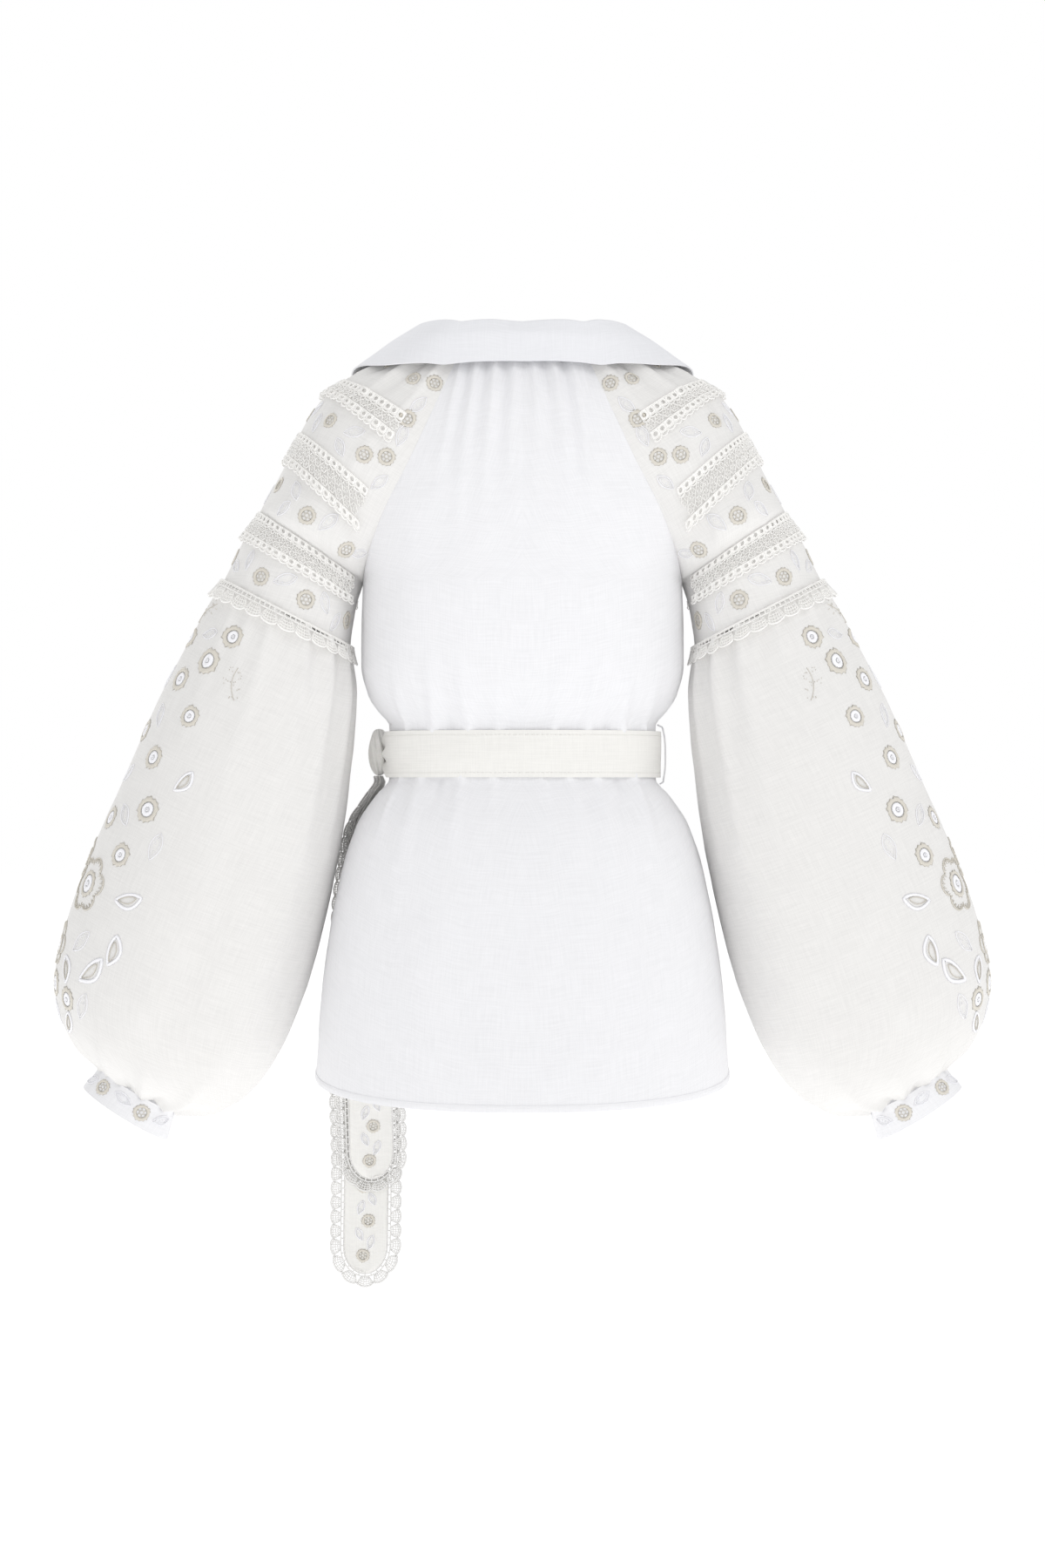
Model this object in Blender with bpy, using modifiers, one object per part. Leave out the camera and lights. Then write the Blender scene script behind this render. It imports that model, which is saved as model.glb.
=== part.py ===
"""Wrap blouse with raglan balloon sleeves, lace tiers, a wide collar and a sash.

Metres, +Z up. The wearer faces -Y and the wearer's left side is +X. The origin lies at
the centre of the neck opening, at the height of the back neck seam.
"""
import math
from collections import namedtuple

import bmesh
import bpy
from mathutils import Vector

# Cloth and seams
WALL = 0.0012
DOUBLE_WALL = 0.0018
LACE_WALL = 0.0013
SEAM_GAP = 0.0003
SASH_SEAM = 0.0008
LAYER_GAP = 0.0006
BODY_ROUNDNESS = 2.3

# Belt, sash ends and their lace
BELT_TOP = -0.3505
BELT_BOTTOM = -0.3925
BELT_WALL = 0.0014
SASH_HALF_WIDTH = 0.020
SASH_LACE_WIDTH = 0.0135
SASH_TIP = 0.026
LACE_PITCH = 0.014
LACE_RUNG = 0.0040
LACE_APEX = 0.0095
LACE_VALLEY = 0.0112

# Sleeve lace and gathers
FLOUNCE_HEIGHT = 0.0185
FLOUNCE_FANS = 14
FLOUNCE_FLARE = 0.0042
FLOUNCE_EASE = 0.0010
SLEEVE_COLUMNS = 20
BALLOON_COLUMNS = 32
BACK_COLUMNS = 10
FRONT_COLUMNS = 10
PLEAT_SHARE = (1.0, 0.6, 0.85, 0.5, 0.95, 0.7, 0.9, 0.55)

# The over front stands clear of the under front by this much
WRAP_STEP = 0.0026

BodySection = namedtuple("BodySection", "height half_width back_depth front_depth")
BODY = (
    BodySection(0.002, 0.104, 0.072, 0.040),
    BodySection(-0.026, 0.126, 0.088, 0.066),
    BodySection(-0.060, 0.146, 0.101, 0.088),
    BodySection(-0.110, 0.159, 0.110, 0.106),
    BodySection(-0.150, 0.158, 0.113, 0.116),
    BodySection(-0.184, 0.152, 0.113, 0.120),
    BodySection(-0.214, 0.146, 0.112, 0.120),
    BodySection(-0.250, 0.1475, 0.110, 0.118),
    BodySection(-0.290, 0.148, 0.105, 0.110),
    BodySection(-0.318, 0.141, 0.099, 0.102),
    BodySection(-0.332, 0.132, 0.095, 0.097),
    BodySection(-0.345, 0.122, 0.092, 0.094),
    BodySection(-0.394, 0.122, 0.092, 0.094),
    BodySection(-0.408, 0.134, 0.097, 0.099),
    BodySection(-0.434, 0.151, 0.108, 0.110),
    BodySection(-0.472, 0.164, 0.118, 0.120),
    BodySection(-0.536, 0.177, 0.128, 0.131),
    BodySection(-0.613, 0.186, 0.136, 0.141),
    BodySection(-0.664, 0.189, 0.141, 0.146),
    BodySection(-0.690, 0.190, 0.142, 0.147),
)

# Each panel row runs from the centre to the side seam, or to the raglan seam at its
# sleeve station. The edge is the free edge of a front, past the centre when negative.
PanelRow = namedtuple("PanelRow", "station back_height side_height edge_x edge_height pleat")
PANEL_ROWS = (
    PanelRow(0.0, 0.0, None, 0.089, -0.028, 0.0),
    PanelRow(0.5, -0.038, None, 0.074, -0.057, 0.0030),
    PanelRow(1.0, -0.074, None, 0.058, -0.088, 0.0026),
    PanelRow(2.0, -0.112, None, 0.041, -0.118, 0.0018),
    PanelRow(3.0, -0.148, None, 0.023, -0.150, 0.0012),
    PanelRow(4.0, -0.184, None, 0.005, -0.184, 0.0008),
    PanelRow(5.0, -0.218, None, -0.012, -0.214, 0.0005),
    PanelRow(None, -0.250, -0.250, -0.032, -0.250, 0.0005),
    PanelRow(None, -0.290, -0.290, -0.052, -0.290, 0.0010),
    PanelRow(None, -0.317, -0.317, -0.064, -0.317, 0.0020),
    PanelRow(None, -0.333, -0.333, -0.071, -0.333, 0.0024),
    PanelRow(None, -0.346, -0.346, -0.076, -0.346, 0.0008),
    PanelRow(None, -0.370, -0.370, -0.080, -0.370, 0.0004),
    PanelRow(None, -0.396, -0.396, -0.083, -0.396, 0.0008),
    PanelRow(None, -0.411, -0.411, -0.084, -0.411, 0.0026),
    PanelRow(None, -0.432, -0.432, -0.085, -0.432, 0.0028),
    PanelRow(None, -0.465, -0.464, -0.086, -0.464, 0.0020),
    PanelRow(None, -0.515, -0.510, -0.087, -0.510, 0.0012),
    PanelRow(None, -0.575, -0.564, -0.088, -0.564, 0.0007),
    PanelRow(None, -0.632, -0.616, -0.089, -0.618, 0.0004),
    PanelRow(None, -0.684, -0.664, -0.090, -0.668, 0.0002),
)

# A section of the sleeve runs from the back seam over the outer side to the front seam.
# From station 5, the underarm, it is a closed ring and both seams are its inner side.
SleeveSection = namedtuple(
    "SleeveSection",
    "station back_x back_height outer_x outer_height front_x front_height bulge roundness pleat",
)
SLEEVE = (
    SleeveSection(0, 0.052, -0.005, 0.098, -0.002, 0.092, -0.026, 0.002, 1.0, 0.0),
    SleeveSection(1, 0.084, -0.076, 0.164, -0.030, 0.104, -0.084, 0.010, 1.0, 0.0022),
    SleeveSection(2, 0.101, -0.112, 0.183, -0.046, 0.112, -0.116, 0.014, 1.0, 0.0012),
    SleeveSection(3, 0.1215, -0.150, 0.204, -0.078, 0.126, -0.150, 0.024, 1.1, 0.0010),
    SleeveSection(4, 0.1365, -0.184, 0.217, -0.106, 0.138, -0.184, 0.040, 1.3, 0.0008),
    SleeveSection(5, 0.1465, -0.214, 0.241, -0.150, 0.1465, -0.214, 0.069, 1.7, 0.0006),
    SleeveSection(6, 0.1535, -0.238, 0.256, -0.176, 0.1535, -0.238, 0.071, 2.0, 0.0006),
    SleeveSection(7, 0.158, -0.274, 0.274, -0.213, 0.158, -0.274, 0.072, 2.0, 0.0010),
    SleeveSection(8, 0.1525, -0.322, 0.300, -0.258, 0.1525, -0.322, 0.079, 2.0, 0.0030),
    SleeveSection(9, 0.160, -0.408, 0.332, -0.318, 0.160, -0.408, 0.089, 2.0, 0.0016),
    SleeveSection(10, 0.175, -0.494, 0.365, -0.392, 0.175, -0.494, 0.095, 2.0, 0.0008),
    SleeveSection(11, 0.196, -0.578, 0.397, -0.466, 0.196, -0.578, 0.099, 2.0, 0.0008),
    SleeveSection(12, 0.224, -0.646, 0.421, -0.534, 0.224, -0.646, 0.097, 2.0, 0.0014),
    SleeveSection(13, 0.245, -0.676, 0.429, -0.575, 0.245, -0.676, 0.091, 2.0, 0.0024),
    SleeveSection(14, 0.264, -0.692, 0.425, -0.606, 0.264, -0.692, 0.080, 2.0, 0.0034),
    SleeveSection(15, 0.288, -0.700, 0.410, -0.634, 0.288, -0.700, 0.060, 2.0, 0.0030),
    SleeveSection(16, 0.317, -0.6985, 0.389, -0.6565, 0.317, -0.6985, 0.033, 2.0, 0.0008),
    SleeveSection(17, 0.327, -0.724, 0.403, -0.676, 0.327, -0.724, 0.034, 2.0, 0.0),
)
UNDERARM = 5
FLOUNCE_STATION = 7
CUFF_STATION = 16
CUFF_GAP = 0.018
UPPER_ROWS = (0.0, 0.5, 1.0, 1.5, 2.0, 2.5, 3.0, 3.5, 4.0, 5.0, 5.5, 6.0, 7.0)
BALLOON_ROWS = (7.012, 7.6, 8.0, 8.7, 9.5, 10.5, 11.5, 12.3, 13.0, 14.0, 15.0, 16.0)

# Lace bands on the upper sleeve, by their sleeve stations
LaceBand = namedtuple("LaceBand", "name top middle bottom")
LACE_BANDS = (
    LaceBand("lace_shoulder", 1.14, 1.5, 2.0),
    LaceBand("lace_upper_arm", 3.0, 3.5, 4.0),
    LaceBand("lace_lower_arm", 5.0, 5.5, 6.0),
)
BAND_FLARE = 0.0034

# How far the collar's roll reaches past its fold
CROWN = 0.006

# The collar from the centre back (place 0) over the back raglan seam (1), the shoulder
# (2) and the front raglan seam (3) to the lapel's end (4), as steps from the neck edge.
CollarSection = namedtuple(
    "CollarSection",
    "place fold_x fold_y fold_z mid_x mid_y mid_z free_x free_y free_z",
)
COLLAR = (
    CollarSection(0.0, 0.000, 0.006, 0.015, 0.000, 0.016, 0.003, 0.000, 0.024, -0.024),
    CollarSection(1.0, 0.003, 0.006, 0.020, 0.010, 0.015, 0.005, 0.020, 0.023, -0.022),
    CollarSection(1.5, 0.006, 0.004, 0.018, 0.022, 0.014, 0.003, 0.042, 0.028, -0.025),
    CollarSection(2.0, 0.001, 0.000, 0.021, 0.027, 0.000, 0.006, 0.058, 0.000, -0.016),
    CollarSection(2.5, 0.002, -0.003, 0.018, 0.025, -0.013, 0.003, 0.051, -0.029, -0.022),
    CollarSection(3.0, 0.001, -0.009, 0.012, 0.022, -0.022, -0.008, 0.045, -0.036, -0.034),
    CollarSection(3.5, 0.000, -0.008, 0.006, 0.019, -0.017, -0.010, 0.038, -0.023, -0.032),
    CollarSection(3.75, 0.000, -0.008, 0.004, 0.012, -0.013, -0.008, 0.025, -0.018, -0.026),
    CollarSection(4.0, 0.000, -0.006, 0.003, 0.006, -0.008, -0.003, 0.010, -0.009, -0.010),
)

# The path of a sash end: the yaw is the way it faces, from the front towards the side,
# and the slide is its step sideways from where a flat strip of that yaw meets the skirt
SashSection = namedtuple("SashSection", "height yaw slide spread stand_off layer_step")
SASH = (
    SashSection(-0.3912, 80.0, 0.004, 0.45, 0.0115, 0.0018),
    SashSection(-0.412, 74.0, 0.002, 0.62, 0.0060, 0.0018),
    SashSection(-0.450, 60.0, 0.000, 0.95, 0.0056, 0.0030),
    SashSection(-0.520, 42.0, 0.0126, 1.0, 0.0052, 0.0044),
    SashSection(-0.600, 24.0, 0.049, 1.0, 0.0050, 0.0044),
    SashSection(-0.668, 11.0, 0.089, 1.0, 0.0050, 0.0044),
    SashSection(-0.780, 4.0, 0.120, 1.0, 0.0040, 0.0044),
    SashSection(-0.900, 2.0, 0.134, 1.0, 0.0040, 0.0044),
)
SashEnd = namedtuple("SashEnd", "name bottom layer shift_x")
SASH_ENDS = (
    SashEnd("sash_end_long", -0.886, 1, 0.0015),
    SashEnd("sash_end_short", -0.793, 0, -0.0035),
)
CUT_FROM = -0.650
PLAIN_ROWS = 11

Finish = namedtuple("Finish", "name colour roughness")
WHITE_LINEN = Finish("white_linen", (0.87, 0.87, 0.90, 1.0), 0.9)
COLLAR_LINEN = Finish("collar_linen", (0.86, 0.87, 0.92, 1.0), 0.85)
IVORY_VOILE = Finish("ivory_voile", (0.84, 0.83, 0.81, 1.0), 0.9)
IVORY_LACE = Finish("ivory_lace", (0.88, 0.87, 0.84, 1.0), 0.95)
SASH_LINEN = Finish("sash_linen", (0.86, 0.85, 0.82, 1.0), 0.9)


def secant(rows, key, column, index):
    """Slope of a table's column between one row and the next."""
    step = getattr(rows[index + 1], key) - getattr(rows[index], key)
    return (getattr(rows[index + 1], column) - getattr(rows[index], column)) / step


def slope(rows, key, column, index):
    """Slope of a smooth curve through a table's column, with no overshoot."""
    if index == 0:
        return secant(rows, key, column, 0)
    if index == len(rows) - 1:
        return secant(rows, key, column, index - 1)
    before = secant(rows, key, column, index - 1)
    after = secant(rows, key, column, index)
    if before * after <= 0.0:
        return 0.0
    return 2.0 * before * after / (before + after)


def read(rows, key, column, value):
    """Read a column at a key's value, on a smooth curve through the table's rows."""
    rising = getattr(rows[-1], key) > getattr(rows[0], key)
    index = 0
    for number in range(1, len(rows) - 1):
        mark = getattr(rows[number], key)
        if (value >= mark) if rising else (value <= mark):
            index = number
    start, end = rows[index], rows[index + 1]
    step = getattr(end, key) - getattr(start, key)
    share = min(max((value - getattr(start, key)) / step, 0.0), 1.0)
    square = share * share
    cube = square * share
    return (
        (2 * cube - 3 * square + 1) * getattr(start, column)
        + (cube - 2 * square + share) * step * slope(rows, key, column, index)
        + (3 * square - 2 * cube) * getattr(end, column)
        + (cube - square) * step * slope(rows, key, column, index + 1)
    )


def signed_power(value, power):
    """A power of a number's size, with the number's sign."""
    return math.copysign(abs(value) ** power, value)


def smooth(start, end, value):
    """Rise smoothly from 0 at start to 1 at end."""
    share = min(max((value - start) / (end - start), 0.0), 1.0)
    return share * share * (3.0 - 2.0 * share)


def body_point(angle, height, out=0.0):
    """A point of the body's form. Angle 0 is the centre back and 90 degrees the left side."""
    half_width = read(BODY, "height", "half_width", height)
    column = "back_depth" if math.cos(angle) >= 0.0 else "front_depth"
    depth = read(BODY, "height", column, height)
    power = 2.0 / BODY_ROUNDNESS
    point = Vector((
        half_width * signed_power(math.sin(angle), power),
        depth * signed_power(math.cos(angle), power),
        height,
    ))
    normal = Vector((
        signed_power(math.sin(angle), 2.0 - power) / half_width,
        signed_power(math.cos(angle), 2.0 - power) / depth,
        0.0,
    )).normalized()
    return point + normal * out


def angle_at(x, height):
    """The angle from the centre at which the body's form has this x."""
    half_width = read(BODY, "height", "half_width", height)
    share = min(abs(x) / half_width, 1.0)
    return math.copysign(math.asin(share ** (BODY_ROUNDNESS / 2.0)), x)


def raglan_point(station, side):
    """A point of the left raglan seam, on the back or the front."""
    x = read(SLEEVE, "station", side + "_x", station)
    height = read(SLEEVE, "station", side + "_height", station)
    if station >= UNDERARM:
        return Vector((x, 0.0, height))
    angle = angle_at(x, height)
    return body_point(angle if side == "back" else math.pi - angle, height)


def sleeve_base(station, turn):
    """A point of the left sleeve's form. The turn goes from the back seam (0) to the front (1)."""
    back = raglan_point(station, "back")
    front = raglan_point(station, "front")
    outer = Vector((
        read(SLEEVE, "station", "outer_x", station),
        0.0,
        read(SLEEVE, "station", "outer_height", station),
    ))
    middle = (back + front) / 2.0
    tau = math.pi * turn
    rise = max(math.sin(tau), 0.0) ** read(SLEEVE, "station", "roundness", station)
    point = middle + (back - front) / 2.0 * math.cos(tau) + (outer - middle) * rise
    point.y += read(SLEEVE, "station", "bulge", station) * math.sin(2.0 * tau)
    return point


def sleeve_point(station, turn, out=0.0):
    """A point of the left sleeve, moved out of its form."""
    point = sleeve_base(station, turn)
    step = 0.02
    across = sleeve_base(station, min(turn + step, 1.0)) - sleeve_base(station, max(turn - step, 0.0))
    last = SLEEVE[-1].station
    along = (sleeve_base(min(station + step, last), turn)
             - sleeve_base(max(station - step, 0.0), turn))
    normal = across.cross(along).normalized()
    return point + normal * out


def pleat(index, count, depth):
    """How far a fold's crest stands out: every second column, each fold of its own depth."""
    if index % 2 == 0 or index in (0, count):
        return 0.0
    return depth * PLEAT_SHARE[(index // 2) % len(PLEAT_SHARE)]


def collection(name):
    """A new collection in the scene."""
    group = bpy.data.collections.new(name)
    bpy.context.scene.collection.children.link(group)
    return group


def material(finish):
    """The material of a finish, made once."""
    existing = bpy.data.materials.get(finish.name)
    if existing:
        return existing
    made = bpy.data.materials.new(finish.name)
    made.use_nodes = True
    shader = made.node_tree.nodes["Principled BSDF"]
    shader.inputs["Base Color"].default_value = finish.colour
    shader.inputs["Roughness"].default_value = finish.roughness
    shader.inputs["Metallic"].default_value = 0.0
    return made


def add_wall(name, points, faces, finish, thickness, inside):
    """A cloth wall: an open sheet whose outer side is given, thickened towards the inside."""
    mesh = bpy.data.meshes.new(name)
    mesh.from_pydata([tuple(point) for point in points], [], faces)
    mesh.update()
    outward = 0.0
    for face in mesh.polygons:
        outward += face.normal.dot(face.center - inside(face.center)) * face.area
    if outward < 0.0:
        mesh.flip_normals()
    mesh.shade_smooth()
    mesh.set_sharp_from_angle(angle=math.radians(50.0))
    mesh.materials.append(material(finish))
    wall = bpy.data.objects.new(name, mesh)
    garment.objects.link(wall)
    solidify = wall.modifiers.new("Cloth thickness", "SOLIDIFY")
    solidify.thickness = thickness
    solidify.offset = -1.0
    return wall


def trimmed(row, gap=SEAM_GAP / 2.0):
    """A row of points, each end drawn back from its seam."""
    first = row[0] + (row[1] - row[0]).normalized() * gap
    last = row[-1] + (row[-2] - row[-1]).normalized() * gap
    return [first] + row[1:-1] + [last]


def add_sheet(name, rows, finish, thickness, inside, closed=False, weld_from=None):
    """A wall through rows of points. A closed row is a ring, and welded rows close on themselves."""
    points = []
    numbers = []
    for index, row in enumerate(rows):
        welded = weld_from is not None and index >= weld_from
        kept = row[:-1] if welded else row
        start = len(points)
        points.extend(kept)
        line = list(range(start, start + len(kept)))
        if welded or closed:
            line.append(start)
        numbers.append(line)
    faces = []
    for upper, lower in zip(numbers, numbers[1:]):
        for column in range(len(upper) - 1):
            faces.append((upper[column], upper[column + 1], lower[column + 1], lower[column]))
    return add_wall(name, points, faces, finish, thickness, inside)


def mirrored(rows):
    """The same rows on the other side of the body."""
    return [[Vector((-point.x, point.y, point.z)) for point in row] for row in rows]


def body_axis(point):
    """The point of the body's centre line at a point's height."""
    return Vector((0.0, 0.0, point.z))


def sleeve_axis(side):
    """The centre line of a sleeve, as a function of a point beside it."""
    marks = [(sleeve_base(station / 2.0, 0.5) + sleeve_base(station / 2.0, 0.0)) / 2.0
             for station in range(2, 35)]
    marks = [Vector((mark.x * side, 0.0, mark.z)) for mark in marks]

    def nearest(point):
        return min(marks, key=lambda mark: (mark - point).length)

    return nearest


def back_rows():
    """The left back from the centre seam to the side and raglan seams."""
    rows = []
    for place in PANEL_ROWS:
        if place.station is None:
            side_height = place.side_height
            end_angle = math.pi / 2.0
        else:
            seam = raglan_point(place.station, "back")
            side_height = seam.z
            end_angle = angle_at(seam.x, seam.z)
        row = []
        for column in range(BACK_COLUMNS + 1):
            share = column / BACK_COLUMNS
            height = place.back_height + (side_height - place.back_height) * share * share
            fold = pleat(column, BACK_COLUMNS, place.pleat)
            row.append(body_point(end_angle * share, height, fold))
        rows.append(trimmed(row))
    return rows


def front_edge_angle(place, reach):
    """The angle from the centre front of a front's free edge, towards its own side."""
    x = max(place.edge_x, -reach)
    return angle_at(x, place.edge_height)


def front_rows(reach, step):
    """The left front from the side and raglan seams to its free edge past the centre."""
    rows = []
    for place in PANEL_ROWS:
        if place.station is None:
            side_height = place.side_height
            start_angle = math.pi / 2.0
        else:
            seam = raglan_point(place.station, "front")
            side_height = seam.z
            start_angle = angle_at(seam.x, seam.z)
        end_angle = front_edge_angle(place, reach)
        row = []
        for column in range(FRONT_COLUMNS + 1):
            share = column / FRONT_COLUMNS
            height = side_height + (place.edge_height - side_height) * share
            angle = start_angle + (end_angle - start_angle) * share
            covered = 1.0 - smooth(math.radians(46.0), math.radians(62.0), angle)
            fold = pleat(column, FRONT_COLUMNS, place.pleat)
            if step == 0.0:
                fold *= 1.0 - covered
            lift = step * (1.0 - smooth(math.radians(52.0), math.radians(80.0), angle))
            if place.station is not None:
                lift *= smooth(0.0, 0.35, share)
            row.append(body_point(math.pi - angle, height, fold + lift))
        rows.append(trimmed(row))
    return rows


def build_body():
    """Two backs joined at a centre seam, and two fronts that wrap, the right one over."""
    back = back_rows()
    add_sheet("back_left", back, WHITE_LINEN, WALL, body_axis)
    add_sheet("back_right", mirrored(back), WHITE_LINEN, WALL, body_axis)
    over = mirrored(front_rows(reach=1.0, step=WRAP_STEP))
    under = front_rows(reach=0.055, step=0.0)
    add_sheet("front_right_over", over, WHITE_LINEN, WALL, body_axis)
    add_sheet("front_left_under", under, WHITE_LINEN, WALL, body_axis)


def upper_sleeve_point(station, column, columns, out=0.0):
    """A point of the upper sleeve, with the gathers of its columns."""
    fold = pleat(column, columns, read(SLEEVE, "station", "pleat", station))
    return sleeve_point(station, column / columns, out + fold)


def build_upper_sleeve(side, word):
    """The raglan upper sleeve, open above the underarm and a tube below it."""
    rows = []
    for station in UPPER_ROWS:
        row = [upper_sleeve_point(station, column, SLEEVE_COLUMNS)
               for column in range(SLEEVE_COLUMNS + 1)]
        if station < UNDERARM:
            row = trimmed(row, SEAM_GAP)
        rows.append(row)
    if side < 0:
        rows = mirrored(rows)
    add_sheet("sleeve_upper_" + word, rows, IVORY_VOILE, WALL, sleeve_axis(side),
              weld_from=UPPER_ROWS.index(UNDERARM))


def build_lace_bands(side, word):
    """Three bands of lace set on the upper sleeve, each flaring at its lower edge."""
    for band in LACE_BANDS:
        base = LACE_WALL + LAYER_GAP
        levels = (
            (band.top, base),
            (band.middle, base + 0.35 * BAND_FLARE),
            (band.bottom, base + BAND_FLARE),
        )
        rows = []
        for station, out in levels:
            row = [upper_sleeve_point(station, column, SLEEVE_COLUMNS, out)
                   for column in range(1, SLEEVE_COLUMNS)]
            rows.append(row)
        if side < 0:
            rows = mirrored(rows)
        add_sheet(band.name + "_" + word, rows, IVORY_LACE, LACE_WALL, sleeve_axis(side))


def build_flounce(side, word):
    """Scalloped lace round the sleeve's lower tier, in a back half and a front half."""
    station_length = (sleeve_base(8, 0.5) - sleeve_base(7, 0.5)).length
    depths = {
        "top": 0.0, "rung": 0.0055, "apex": 0.0115, "valley": 0.0140, "tip": FLOUNCE_HEIGHT,
    }

    def lace_point(turn, level):
        depth = depths[level]
        beside_body = 1.0 - smooth(0.0, 0.22, min(turn, 1.0 - turn))
        flare = FLOUNCE_FLARE * (1.0 - 0.7 * beside_body)
        out = LACE_WALL + LAYER_GAP + FLOUNCE_EASE + flare * depth / FLOUNCE_HEIGHT
        point = sleeve_point(FLOUNCE_STATION - 0.03 + depth / station_length, turn, out)
        return Vector((point.x * side, point.y, point.z))

    for half, start in (("back", 0.0), ("front", 0.5)):
        margin = 0.002
        span = (0.5 - 2.0 * margin) / FLOUNCE_FANS
        points, faces, _, _ = fan_strip(
            FLOUNCE_FANS,
            lambda place, level: lace_point(start + margin + span * place, level),
        )
        add_wall("lace_flounce_%s_%s" % (half, word), points, faces, IVORY_LACE,
                 LACE_WALL, sleeve_axis(side))


def fan_strip(count, lace_point):
    """A strip of lace fans, with a three-cornered gap cut between each fan and the next.

    Gives its points, its faces, and the point numbers of its first and last ends.
    """
    points = []
    faces = []

    def add(place, level):
        points.append(lace_point(place, level))
        return len(points) - 1

    stops = []
    for number in range(count + 1):
        top = add(number, "top")
        valley = add(number, "valley")
        if number in (0, count):
            rung = add(number, "rung")
            stops.append((top, rung, rung, rung, valley))
            continue
        left = add(number - 0.26, "rung")
        right = add(number + 0.26, "rung")
        apex = add(number, "apex")
        stops.append((top, left, right, apex, valley))
        faces.append((top, left, right))
    for number in range(count):
        top, _, right, apex, valley = stops[number]
        next_top, next_left, _, next_apex, next_valley = stops[number + 1]
        shoulders = [add(number + 0.3, "tip"), add(number + 0.7, "tip")]
        faces.append((top, right, next_left, next_top))
        ring = [right, apex, valley] + shoulders + [next_valley, next_apex, next_left]
        faces.append(tuple(dict.fromkeys(ring)))
    ends = [(stops[at][0], stops[at][1], stops[at][4]) for at in (0, count)]
    return points, faces, ends[0], ends[1]


def build_lower_sleeve(side, word):
    """The balloon from under the flounce to the cuff, gathered at both ends."""
    rows = []
    for station in BALLOON_ROWS:
        depth = read(SLEEVE, "station", "pleat", station)
        row = []
        for column in range(BALLOON_COLUMNS):
            fold = 0.0
            if column % 2:
                fold = -depth * PLEAT_SHARE[(column // 2) % len(PLEAT_SHARE)]
            row.append(sleeve_point(station, column / BALLOON_COLUMNS, fold))
        rows.append(row)
    if side < 0:
        rows = mirrored(rows)
    add_sheet("sleeve_lower_" + word, rows, IVORY_VOILE, WALL, sleeve_axis(side), closed=True)


def build_cuff(side, word):
    """A plain band of doubled cloth at the wrist."""
    rows = []
    columns = 22
    for station, out in ((CUFF_STATION + CUFF_GAP, 0.0), (16.5, 0.0006), (17.0, 0.0)):
        row = [sleeve_point(station, column / columns, out) for column in range(columns)]
        rows.append(row)
    if side < 0:
        rows = mirrored(rows)
    add_sheet("cuff_" + word, rows, WHITE_LINEN, DOUBLE_WALL, sleeve_axis(side), closed=True)


def neck_edge():
    """Places and points of the left half of the neck edge, from the centre back to the lapel."""
    stops = []
    back_steps = 5
    for step in range(back_steps):
        share = step / back_steps
        seam = raglan_point(0.0, "back")
        height = PANEL_ROWS[0].back_height * (1.0 - share * share) + seam.z * share * share
        stops.append((share, body_point(angle_at(seam.x, seam.z) * share, height)))
    sleeve_steps = 10
    for step in range(sleeve_steps + 1):
        share = step / sleeve_steps
        stops.append((1.0 + 2.0 * share, sleeve_point(0.0, share)))
    for number in range(1, 5):
        place = PANEL_ROWS[number]
        angle = math.pi - front_edge_angle(place, 1.0)
        lift = WRAP_STEP
        stops.append((3.0 + number / 4.0, body_point(angle, place.edge_height, lift)))
    return stops


def build_collar():
    """A wide turned-down collar that runs on as the wrap's lapels."""
    rise = 0.0022
    overhang = 0.0030
    half = []
    for place, edge in neck_edge():
        steps = {}
        for part in ("fold", "mid", "free"):
            steps[part] = Vector([read(COLLAR, "place", part + "_" + axis, place) for axis in "xyz"])
        beyond = smooth(2.5, 3.1, place)
        foot = Vector((-overhang * beyond, 0.0, rise))
        crown = edge + steps["fold"] + (steps["mid"] - steps["fold"]).normalized() * CROWN
        half.append([
            edge + foot,
            edge + steps["fold"],
            crown,
            edge + steps["mid"],
            edge + steps["free"],
        ])
    whole = list(reversed(mirrored(half)[1:])) + half

    def under(point):
        return Vector((point.x * 0.6, point.y * 0.6, point.z - 0.05))

    collar = add_sheet("collar", whole, COLLAR_LINEN, DOUBLE_WALL, under)
    return collar


def belt_outset(angle):
    """How far the belt stands off the body: more where it crosses the doubled front."""
    front = smooth(math.radians(70.0), math.radians(110.0), abs(angle))
    return 0.0028 + (WRAP_STEP + 0.0010) * front


def build_belt():
    """The sash round the waist, from the knot round the back and the front to the knot."""
    columns = 42
    knot_angle = math.radians(97.0)
    margin = math.radians(5.0)
    rows = []
    for height, crown in ((BELT_TOP, 0.0), ((BELT_TOP + BELT_BOTTOM) / 2.0, 0.0008), (BELT_BOTTOM, 0.0)):
        row = []
        for column in range(columns + 1):
            share = column / columns
            angle = knot_angle - margin - share * (2.0 * math.pi - 2.0 * margin)
            turned = math.atan2(math.sin(angle), math.cos(angle))
            row.append(body_point(angle, height, belt_outset(turned) + crown))
        rows.append(row)
    add_sheet("belt", rows, SASH_LINEN, BELT_WALL, body_axis)


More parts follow.
